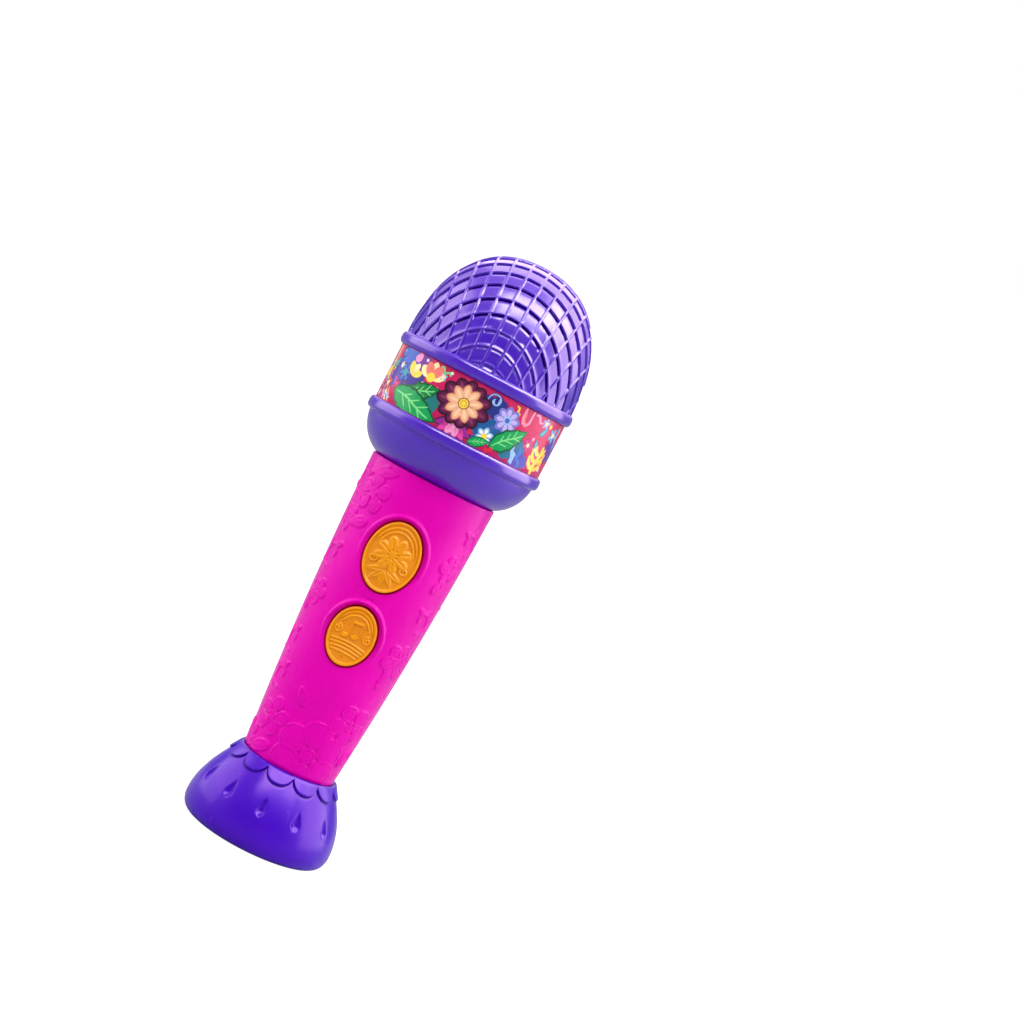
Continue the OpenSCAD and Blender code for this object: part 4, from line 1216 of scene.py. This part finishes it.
def build_tray():
    full = TRAY_X + TRAY_RAIL
    z0, z1 = TRAY_Z0 - TRAY_END, DOOR_Z1 + 1
    rail_y = min(12.4, math.sqrt((handle_r(75) - WALL - 0.15) ** 2 - full ** 2))
    bed, floor = TRAY_FLOOR
    parts = [block((-full, bed, z0), (full, floor, z1))]
    for x in (-full, TRAY_X):
        parts.append(block((x, bed, z0), (x + TRAY_RAIL, rail_y, z1)))
    for z in (z0, TRAY_Z1):
        parts.append(block((-full + 0.1, bed, z), (full - 0.1, 12.0, z + TRAY_END)))
    for x in (-CELL_X, CELL_X):
        for z in (58, 72, 88):
            parts.append(block((x - 4.6, floor - 0.1, z), (x + 4.6, 2.15, z + 1.2), 0.1))
    parts.append(block((-0.5, floor - 0.1, TRAY_Z0), (0.5, 4.4, TRAY_Z1), 0.12))
    post = [(POST_R + 0.5, floor - 0.1), (POST_R + 0.15, floor + 0.5),
            (POST_R, floor + 1), (POST_R, POST_Y - 0.2), (POST_R - 0.2, POST_Y),
            (POST_HOLE + 0.2, POST_Y), (POST_HOLE, POST_Y - 0.2), (POST_HOLE, 8), (0.01, 8)]
    parts.append(turned_y(post, (0, DOOR_SCREW_Z)))
    piece = add_piece("battery_tray", *merge(parts), handle_plastic, "handle_rear")
    with editing(piece.data) as bm:
        bmesh.ops.recalc_face_normals(bm, faces=bm.faces[:])


build_tray()

# ---------------------------------------------------------------- battery door


def build_door():
    half, z0, z1 = door_high[0], DOOR_Z0 + 0.2, door_high[2]
    recess_r, recess_y, bore = 3.0, 18.2, 1.35
    pitch = 0.42
    z = np.concatenate([[z0, z0 + 0.06, z0 + 0.18, z0 + 0.35],
                        np.arange(z0 + 0.7, z1 - 0.5, pitch),
                        [z1 - 0.35, z1 - 0.18, z1 - 0.06, z1]])
    across = np.concatenate([[-1, -0.995, -0.985, -0.97], np.linspace(-0.945, 0.945, 57),
                             [0.97, 0.985, 0.995, 1]])

    def skin(radius, holes, rings, margin):
        phi = np.arcsin(half * across[None, :] / radius(z)[:, None])
        return (phi, *sheet(phi, z, radius, holes, rings, margin))

    phi, p, zz, faces, rims = skin(handle_r, [(0, DOOR_SCREW_Z, recess_r, recess_r)], 10, 0.8)
    r = handle_r(zz)
    x = r * np.sin(p)
    edge = np.minimum(half - np.abs(x), np.minimum(zz - z0, z1 - zz))
    lift = -0.3 * np.clip(1 - edge / 0.35, 0, 1) ** 2
    e = oval_distance(x, zz, (0, DOOR_SCREW_Z, recess_r, recess_r))
    lift -= 0.22 * np.clip(1 - np.maximum(e, 0) / 0.3, 0, 1) ** 2
    groove = np.abs(edge - 2.4)
    lift -= 0.22 * np.clip(1 - (groove / 0.45) ** 2, 0, 1) * (e > 1.6)
    for k in range(6):  # grip bars
        bar = np.hypot(np.maximum(np.abs(x) - (5.6 - 0.45 * k), 0), zz - (94.6 - 1.9 * k))
        lift += 0.34 * np.clip(1 - (bar / 0.62) ** 2, 0, 1) ** 1.2
    art = flower_lines((0, 70), 6.6, 6, 30) + leaf_lines((-5.2, 62), 215, 5.6, 2.6) \
        + leaf_lines((5.2, 62), -35, 5.6, 2.6) + leaf_lines((0, 60.5), 270, 5.4, 2.6)
    lift += relief(r * p, zz, art, 0.6, 0.26)
    lift = np.minimum(lift, 0.36) - 0.08
    outer = place(p, zz, r + lift, 1)

    def inner_radius(v):
        return handle_r(v) - WALL

    _, p2, z2, faces2, _ = skin(inner_radius, [(0, DOOR_SCREW_Z, bore, bore)], 4, 0.8)
    inner = place(p2, z2, inner_radius(z2), 1)
    verts, ring, last = walls(outer, rims[0], [np.array([0, -0.1, 0]), np.array([0, -1.0, 0])])
    verts[last, 1] = recess_y
    parts = [faces, ring]
    centre = verts[last].mean(0) * [0, 1, 0] + [0, 0, DOOR_SCREW_Z]
    shrink = (verts[last] - centre) * (bore / recess_r) - (verts[last] - centre)
    shrink[:, 1] = 0
    for shift in (shrink, np.array([0, DOOR_BOSS_Y - recess_y, 0])):
        verts, ring, last = walls(verts, last, [shift])
        parts.append(ring)
    start = len(verts)
    verts = np.concatenate([verts, inner])
    parts.append(np.asarray(faces2)[:, ::-1] + start)
    rows, cols = phi.shape
    loop = block_of(cols, 0, rows - 1, 0, cols - 1)[1]
    shut = np.stack([loop, np.roll(loop, -1), np.roll(loop, -1) + start, loop + start], -1)
    parts.append(shut[:, ::-1])
    boss = turned_y([(bore, DOOR_BOSS_Y), (3.5, DOOR_BOSS_Y), (3.7, DOOR_BOSS_Y + 0.2),
                     (3.7, 18.6)], (0, DOOR_SCREW_Z))
    root = handle_r(47) - WALL
    tongue = block((-3.5, 13.1, 43.0), (3.5, 14.2, 49.0), 0.2, 3)
    foot = block((-3.5, 13.15, 45.9), (3.5, root - 0.05, 48.9), 0.1)
    verts, faces = merge([(verts, flat(parts, True)), boss, tongue, foot])
    add_piece("battery_door_panel", verts, faces, handle_plastic, "battery_door",
              "battery_door", 42)


build_door()

# ---------------------------------------------------------------- buttons


def button_art_upper(x, z):
    """A generic blossom over a fan of leaves, with arcs that follow the rim."""
    centre = np.array((0.0, 0.8))
    arcs = [circle((0, 0), 1, 60)[4:27] * (r * UPPER[1], r * UPPER[2]) for r in (0.82, 0.7)]
    curls = [spiral((side * 5.2, -2.4), 1.5, 0.35, 90, side * 1.3) for side in (-1, 1)]
    height = np.maximum(relief(x, z, arcs, 0.5, 0.3), relief(x, z, curls, 0.42, 0.28))
    for a, length in ((-20, 6.6), (-160, 6.6), (-52, 6.4), (-128, 6.4), (-90, 6.0)):
        blade = leaf((0, -4.0), a, length, 2.9)
        height = np.maximum(height, pillow(x, z, blade, 0.9, 0.32))
        rib = turned([(0.8, 0), (length * 0.8, 0)], a, (0, -4.0))
        height -= relief(x, z, [rib], 0.3, 0.16)
    for k in range(8):
        outer = petal(centre, 22.5 + 45 * k, 6.3, 3.7, 0.55, 1.0)
        height = np.maximum(height, pillow(x, z, outer, 1.0, 0.36))
    for k in range(8):
        crease = turned([(2.6, 0), (5.0, 0)], 22.5 + 45 * k, centre)
        height -= relief(x, z, [crease], 0.32, 0.14)
    for k in range(8):
        inner = petal(centre, 45 * k, 4.0, 2.2, 0.6, 0.6)
        layered = np.maximum(height, 0.1 + pillow(x, z, inner, 0.7, 0.28))
        height = np.where(inside(x, z, inner), layered, height)
    d = np.hypot(x - centre[0], z - centre[1])
    height = np.where(d < 1.3, np.maximum(height, 0.4 - 0.14 * (d / 1.3) ** 2), height)
    seeds = [closed(circle(centre + 1.0 * np.array([math.cos(a), math.sin(a)]), 0.18, 8))
             for a in np.arange(7) * TAU / 7]
    height += relief(x, z, seeds, 0.3, 0.12)
    return height


def note(c, size):
    """Outlines of a pair of joined eighth notes."""
    left, right = np.array(c), np.array(c) + (size * 0.62, size * 0.1)
    shapes = []
    for head in (left, right):
        shapes.append(turned(circle((0, 0), size * 0.24, 28, 0.74), 22, head))
        stem = head + (size * 0.17, 0)
        shapes.append(np.array([stem, stem + (size * 0.09, 0), stem + (size * 0.09, size),
                                stem + (0, size)]))
    beam = left + (size * 0.17, size * 0.82)
    reach = np.array((size * 0.71, size * 0.1))
    shapes.append(np.array([beam, beam + reach, beam + reach + (0, size * 0.2),
                            beam + (0, size * 0.2)]))
    return shapes


def button_art_lower(x, z):
    """Generic music notes among stars and curls, over curved stave lines."""
    arcs = [circle((0, 0), 1, 60)[5:26] * (r * LOWER[1], r * LOWER[2]) for r in (0.82, 0.69)]
    curls = [spiral((side * 4.9, 0.6), 1.35, 0.3, 90, side * 1.4) for side in (-1, 1)]
    height = np.maximum(relief(x, z, arcs, 0.46, 0.28), relief(x, z, curls, 0.4, 0.28))
    stave = [np.stack([np.linspace(-6.2, 6.2, 30),
                       -2.9 - 1.15 * k + 0.9 * np.cos(np.linspace(-1.6, 1.6, 30))], -1)
             for k in range(4)]
    height = np.maximum(height, relief(x, z, stave, 0.42, 0.26))
    for shape in note((-2.1, -0.4), 5.0):
        height = np.maximum(height, pillow(x, z, shape, 0.36, 0.5))
    for at, r in (((-3.2, 3.6), 0.6), ((3.6, 3.8), 0.6), ((0.2, -6.0), 0.6)):
        for k in range(5):
            height = np.maximum(height, pillow(x, z, petal(at, 90 + 72 * k, r * 2, r), 0.4, 0.3))
    return height


FIELD_DEPTH = 0.55
ART_HEIGHT = 1.6


def build_button(name, node, oval, art, flange_y):
    """A cap with a raised rim round a sunk field with its art, and a flange inside."""
    zc, a, b = oval
    rings = np.concatenate([np.linspace(0.012, 0.9, 60), [0.92, 0.94, 0.955, 0.97, 0.982, 0.991,
                                                         0.997, 1.0]])
    spokes = 240
    t = np.arange(spokes) * TAU / spokes
    x = (rings[:, None] * a * np.cos(t)).ravel()
    z = (rings[:, None] * b * np.sin(t)).ravel()
    x, z = np.append(x, 0), np.append(z, 0)
    e = -oval_distance(x, z, (0, 0, a, b))
    lift = -0.32 * np.clip(1 - e / 0.34, 0, 1) ** 2.2
    lift -= FIELD_DEPTH * smooth(0.7, 1.2, e)
    lift += ART_HEIGHT * art(x, z) * smooth(1.0, 1.7, e)
    lift = np.minimum(lift, 0.02)
    # painted shade: a little over the sunk field round the art, and a dark red band on the cap's
    # outermost rim
    sunk = 0.24 * smooth(0.12, FIELD_DEPTH, -lift) * smooth(0.6, 1.2, e)
    sunk = np.maximum(sunk, 0.8 * (1 - smooth(0.06, 0.24, e)))
    skin = handle_r(zc + z) + BUTTON_RISE - 0.02 + lift
    y = -np.sqrt(np.maximum(skin ** 2 - x ** 2, 0))
    verts = np.stack([x, y, zc + z], -1)
    n = len(rings)
    quads = grid_faces(n, spokes, wrap=True)[:, ::-1]
    hub = n * spokes
    deep = np.zeros(hub + 1 + 4 * spokes)
    deep[:hub + 1] = sunk
    # painted shade on the cap's sides and flange
    deep[hub + 1:] = 0.8
    parts = [quads, [(k, (k + 1) % spokes, hub) for k in range(spokes)]]
    rim = (n - 1) * spokes + np.arange(spokes)
    verts, ring, last = walls(verts, rim, [np.array([0, 0.3, 0]), np.array([0, 1.0, 0])], True)
    verts[last, 1] = flange_y
    parts.append(ring)
    outward = np.stack([np.cos(t) * BUTTON_FLANGE, 0 * t, np.sin(t) * BUTTON_FLANGE], -1)
    verts, ring, last = walls(verts, last, [outward, outward + [0, 1, 0]], True)
    parts.append(ring)
    add_piece(name, verts, flat(parts, True), button_plastic, node, node, 45, deep)


build_button("upper_button_cap", "upper_button", UPPER, button_art_upper, -15.3)
build_button("lower_button_cap", "lower_button", LOWER, button_art_lower, -14.6)

# ---------------------------------------------------------------- foot

SCALLOPS = 12
SCALLOP_RISE, SCALLOP_MARGIN, SCALLOP_DROP = 0.75, 1.3, 3.3
LOBE = TAU / SCALLOPS
DIMPLE_Z, DIMPLE_HALF, DIMPLE_DEPTH = 13.4, 1.5, 1.05
DIMPLE_BELOW, DIMPLE_ABOVE = 1.7, 3.8  # how far the teardrop reaches from its widest place


def across_lobe(phi):
    """Angle from the middle of the nearest lobe."""
    return np.mod(phi + LOBE / 2, LOBE) - LOBE / 2


def build_foot():
    """The flared foot, with a row of points along the edge of its scalloped collar."""
    per_lobe = 36
    phi = np.arange(SCALLOPS * per_lobe) * TAU / (SCALLOPS * per_lobe)
    t = across_lobe(phi) / (LOBE / 2)
    edge_z = FOOT_TOP - SCALLOP_MARGIN - SCALLOP_DROP * (1 - np.abs(t) ** 2.4) ** 0.8
    bottom = [(20.85, 2.1), (20.85, 0.25), (20.95, 0.08), (21.1, 0), (21.8, 0), (22.3, 0.0),
              (22.8, 0.12), (23.4, 0.5), (23.9, 1.0), (24.3, 1.65), (24.6, 2.4), (24.78, 3.1),
              (24.87, 3.8)]
    body = np.linspace(0, 1, 44)
    steps = np.array([-0.45, -0.25, -0.08, 0.1, 0.3, 0.5, 0.7, 0.85, 1.0, 1.15])
    crest = np.linspace(0, 1, 9)[1:]
    rows = [(np.full(phi.shape, r), np.full(phi.shape, z)) for r, z in bottom]
    # shaded holds painted shade for each row: a dark band at the step under the collar's scalloped
    # edge, and the top rows where the handle stands
    shaded = [0.0] * len(bottom)
    floor_z = edge_z + steps[0]
    for u in body[:-1]:
        z = FOOT_BELLY + (floor_z - FOOT_BELLY) * u
        rows.append((foot_r(z), z))
        shaded.append(0.0)
    for d in steps:
        z = edge_z + d
        shaded.append(0.55 * math.exp(-((d - 0.15) / 0.5) ** 2))
        rise = SCALLOP_RISE * smooth(-0.1, 1.0, d) - 0.15 * math.exp(-((d + 0.02) / 0.22) ** 2)
        rows.append((foot_r(z) + rise, z))
    first = edge_z + steps[-1]
    for u in crest:
        z = first + (FOOT_TOP - first) * u
        rows.append((foot_r(z) + SCALLOP_RISE - 0.22 * smooth(0.8, 1.0, u), z))
    rows.append((np.full(phi.shape, HANDLE_R0 + 0.35), np.full(phi.shape, FOOT_TOP)))
    rows.append((np.full(phi.shape, HANDLE_R0 - 0.4), np.full(phi.shape, FOOT_TOP - 0.25)))
    shaded += [0.0] * (len(crest)) + [0.5, 0.9]
    r, z = (np.stack([row[k] for row in rows]) for k in (0, 1))
    across = across_lobe(phi) * r
    drop = z - DIMPLE_Z
    below = np.sqrt(np.clip(1 - (drop / DIMPLE_BELOW) ** 2, 0, 1))
    above = np.clip(1 - drop / DIMPLE_ABOVE, 0, 1) ** 0.7
    half = DIMPLE_HALF * np.where(drop < 0, below, above)
    hollow = np.clip(1 - (across / np.maximum(half, 0.05)) ** 2, 0, 1) * (half > 0.05)
    r = r - DIMPLE_DEPTH * hollow ** 0.8 * np.clip(half / DIMPLE_HALF, 0, 1) * (z > 6)
    verts = np.stack([r * np.sin(phi), -r * np.cos(phi), z], -1).reshape(-1, 3)
    faces = grid_faces(len(rows), len(phi), wrap=True)
    # painted shade, also over the upper part of each teardrop dimple
    dark = np.repeat(np.array(shaded)[:, None], len(phi), 1)
    upper = np.clip(drop / DIMPLE_ABOVE, 0, 1)
    dark = np.maximum(dark, 0.5 * hollow * upper * (z > 6)).ravel()
    add_piece("foot_body", verts, faces, foot_plastic, "foot_shell", sharp=60, hollow=dark)


build_foot()

# ---------------------------------------------------------------- screws


def screw_head(seat, axis, head_r, head_t, shank):
    """Pan head with a cross recess, and its shank's (radius, length).

    seat is the centre of its underside, and axis points out of the hole.
    """
    rings, spokes = 30, 96
    q = np.linspace(0.02, 1, rings)
    t = np.arange(spokes) * TAU / spokes
    u, v = (q[:, None] * head_r * f(t) for f in (np.cos, np.sin))
    top = head_t * (0.72 + 0.28 * np.sqrt(np.clip(1 - (q * 0.98) ** 2, 0, 1)))[:, None] + 0 * t
    arm, reach = head_r * 0.13, head_r * 0.6
    cross = np.minimum(np.maximum(np.abs(u) - arm, np.abs(v) - reach),
                       np.maximum(np.abs(v) - arm, np.abs(u) - reach))
    cut = 1 - smooth(-0.06, 0.06, cross)
    slope = np.clip(1 - np.hypot(u, v) / (head_r * 0.75), 0, 1)
    top = top - head_t * 0.62 * cut * (0.35 + 0.65 * slope)
    points = np.stack([u, v, top], -1).reshape(-1, 3)
    side = [(head_r, head_t * 0.62), (head_r, 0.08), (head_r - 0.08, 0), (shank[0], 0),
            (shank[0], -shank[1])]
    rows = [np.stack([r * np.cos(t), r * np.sin(t), z + 0 * t], -1) for r, z in side]
    points = np.concatenate([points] + rows + [[[0, 0, top[0, 0]]]])
    n = rings + len(side)
    faces = [tuple(f) for f in grid_faces(n, spokes, wrap=True)[:, ::-1]]
    faces += [(k, (k + 1) % spokes, n * spokes) for k in range(spokes)]
    turn = Vector((0, 0, 1)).rotation_difference(Vector(axis)).to_matrix()
    verts = np.array([Vector(seat) + turn @ Vector(p) for p in points])
    return verts, faces


def screws(name, places, axis, head_r, head_t, shank, node, body="housing"):
    heads = [screw_head(at, axis, head_r, head_t, shank) for at in places]
    add_piece(name, *merge(heads), screw_steel, node, body, 50)


foot_screw_at = [(16.5 * math.cos(a), 16.5 * math.sin(a), 1.2)
                 for a in np.radians([90, 210, 330])]
screws("foot_screw_heads", foot_screw_at, (0, 0, -1), 2.4, 1.0, (1.25, 9), "foot_screws")
screws("shell_screw_heads", [(x, SCREW_SEAT_Y, z) for x, z in SHELL_SCREWS], (0, 1, 0), 2.4, 1.3,
       (1.25, 5), "shell_screws")
screws("door_screw_pan", [(0, 18.22, DOOR_SCREW_Z)], (0, 1, 0), 2.7, 1.7, (1.25, 8.4),
       "door_screw", "door_screw")

# ---------------------------------------------------------------- finishes of the CAD parts

finishes = {
    "foot_plate": foot_plastic,
    "button_pad": soft_matte("silicone", srgb(205, 205, 198), 0.5, 900),
    "main_board": circuit_board("board_laminate"),
    "sound_chip": soft_matte("chip_resin", srgb(24, 24, 26), 0.35, 600, 0.03),
    "capacitor": soft_matte("capacitor_sleeve", srgb(35, 45, 90), 0.35, 400, 0.01),
    "board_screws": screw_steel,
    "battery_left": cell_wrap("cell_wrap", srgb(24, 24, 28), srgb(60, 150, 90), 76),
    "battery_right": cell_wrap("cell_wrap_turned", srgb(60, 150, 90), srgb(24, 24, 28), 72),
    "jumper_contact": contact_nickel, "jumper_spring": contact_nickel,
    "positive_contact": contact_nickel, "negative_contact": contact_nickel,
    "negative_spring": contact_nickel,
    "screw_retainer": soft_matte("black_rubber", srgb(30, 30, 32), 0.7, 1200),
    "battery_wire_red": soft_matte("red_wire", srgb(190, 30, 30), 0.4, 700),
    "battery_wire_black": soft_matte("black_wire", srgb(26, 26, 28), 0.4, 700),
    "speaker_frame": speaker_steel,
    "speaker_magnet": soft_matte("magnet_ferrite", srgb(46, 46, 50), 0.5, 500, 0.05),
    "speaker_cone": soft_matte("cone_paper", srgb(40, 38, 40), 0.85, 1400, 0.08),
    "speaker_gasket": soft_matte("gasket_foam", srgb(60, 60, 62), 0.9, 1700, 0.1),
    "speaker_screws": screw_steel,
}
finishes["speaker_wire_red"] = finishes["battery_wire_red"]
finishes["speaker_wire_black"] = finishes["battery_wire_black"]
for node, material in finishes.items():
    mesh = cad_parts[node].data
    mesh.materials.clear()
    mesh.materials.append(material)

# ---------------------------------------------------------------- floor, light and camera


def build_stage():
    n = Nodes("pale_floor")
    tone = n.ramp(n.noise(3, 4), [(0.3, (0.3, 0.3, 0.305)), (0.7, (0.33, 0.33, 0.335))])
    path = n.add("ShaderNodeLightPath")
    seen = n.span(path.outputs["Is Camera Ray"], 0, 0.9)
    shine = n.span(path.outputs["Is Glossy Ray"], 0, 0.05)
    glow = n.add("ShaderNodeMath", operation="ADD")
    n.join(seen, glow.inputs[0])
    n.join(shine, glow.inputs[1])
    n.set(Base_Color=tone, Roughness=n.span(n.noise(40, 3), 0.5, 0.7),
          Normal=n.bump(n.noise(400, 3), 0.05, 0.3), Emission_Color=(1.0, 1.0, 1.0),
          Emission_Strength=glow.outputs[0])
    sweep = np.linspace(0, 1.5, 14)[1:]
    radii = np.concatenate([np.linspace(0.01, 2600, 24), 2600 + 900 * np.sin(sweep)])
    heights = np.concatenate([np.zeros(24), 900 * (1 - np.cos(sweep))])
    verts, faces = revolve(np.stack([radii, heights - 0.02], -1), 96)
    mesh = bpy.data.meshes.new("floor")
    mesh.from_pydata((verts * MM).tolist(), [], flat([faces], True))
    mesh.polygons.foreach_set("use_smooth", [True] * len(mesh.polygons))
    show("floor", mesh, n.material)


PLAIN, WARM = (1, 1, 1), (1, 0.86, 0.88)
LIGHT_AIM = (0, 0, 120)
PANELS = (  # name, place, width, height, watts, colour; these show in reflections only
    ("key", (90, -500, 910), 1100, 400, 17, PLAIN),
    ("corner", (520, -60, 800), 500, 500, 6.5, PLAIN),
    ("top", (140, 420, 860), 1500, 900, 14, WARM),
    ("left", (-900, 120, 300), 900, 900, 7, WARM),
    ("right", (900, 120, 300), 900, 900, 10, WARM))
FILLS = (  # the same, for soft light with no reflection
    ("above", (40, -300, 900), 1000, 800, 4.5, PLAIN),
    ("left_fill", (-900, -250, 160), 800, 800, 5, PLAIN),
    ("right_fill", (900, -250, 160), 800, 800, 5, PLAIN))


def softbox(name, place_mm, width, height, watts, tone, mirrored):
    light = bpy.data.lights.new(name, "AREA")
    light.shape = "RECTANGLE"
    light.size, light.size_y = width * MM, height * MM
    light.energy = watts
    light.color = tone
    lamp = bpy.data.objects.new(name, light)
    lamp.location = Vector(place_mm) * MM
    back = (Vector(place_mm) - Vector(LIGHT_AIM)).normalized()
    lamp.rotation_euler = back.to_track_quat("Z", "Y").to_euler()
    lamp.visible_glossy = mirrored
    lamp.visible_diffuse = not mirrored
    bpy.context.scene.collection.objects.link(lamp)


def build_light():
    """Even soft light, with reflections of panels over and beside the object only."""
    for mirrored, boxes in ((True, PANELS), (False, FILLS)):
        for box in boxes:
            softbox(*box, mirrored)
    world = bpy.data.worlds.new("studio")
    world.use_nodes = True
    tree = world.node_tree

    def add(kind, **values):
        node = tree.nodes.new(kind)
        for key, value in values.items():
            node.inputs[key.replace("_", " ")].default_value = value
        return node

    def span(source, low, high, to_low, to_high):
        node = add("ShaderNodeMapRange", From_Min=low, From_Max=high, To_Min=to_low,
                   To_Max=to_high)
        node.interpolation_type = "SMOOTHSTEP"
        tree.links.new(source, node.inputs["Value"])
        return node.outputs["Result"]

    def choose(factor, plain, chosen):
        node = add("ShaderNodeMix")
        tree.links.new(factor, node.inputs[0])
        for k, value in ((2, plain), (3, chosen)):
            if isinstance(value, float):
                node.inputs[k].default_value = value
            else:
                tree.links.new(value, node.inputs[k])
        return node.outputs[0]

    parts = add("ShaderNodeSeparateXYZ")
    tree.links.new(add("ShaderNodeTexCoord").outputs["Generated"], parts.inputs[0])
    path = add("ShaderNodeLightPath")
    reflected = span(parts.outputs["Y"], -0.8, -0.2, 0.0, 1.25)  # dark where the camera is
    lit = choose(path.outputs["Is Glossy Ray"], 1.08, reflected)
    background = tree.nodes["Background"]
    tone = add("ShaderNodeCombineXYZ", X=1.0)
    for axis, share in (("Y", 0.74), ("Z", 0.9)):
        tree.links.new(choose(path.outputs["Is Glossy Ray"], 1.0, share), tone.inputs[axis])
    tree.links.new(tone.outputs[0], background.inputs["Color"])
    tree.links.new(choose(path.outputs["Is Camera Ray"], lit, 1.0),
                   background.inputs["Strength"])
    bpy.context.scene.world = world


CAMERA_EYE, CAMERA_AIM = Vector((26, -615, 153)), Vector((26, 0, 128))
CAMERA_ROLL, CAMERA_LENS = 27.4, 69.26


def build_camera():
    eye, aim = CAMERA_EYE, CAMERA_AIM
    back = (eye - aim).normalized()
    right = Vector((0, 0, 1)).cross(back).normalized()
    up = back.cross(right)
    roll = math.radians(CAMERA_ROLL)
    right, up = (right * math.cos(roll) + up * math.sin(roll),
                 up * math.cos(roll) - right * math.sin(roll))
    camera = bpy.data.cameras.new("camera")
    camera.sensor_width = 36
    camera.lens = CAMERA_LENS
    camera.clip_start = 0.02
    view = bpy.data.objects.new("camera", camera)
    turn = Matrix((right, up, back)).transposed().to_4x4()
    view.matrix_world = Matrix.Translation(eye * MM) @ turn
    bpy.context.scene.collection.objects.link(view)
    bpy.context.scene.camera = view


build_stage()
build_light()
build_camera()
bpy.context.scene.view_settings.view_transform = "Standard"
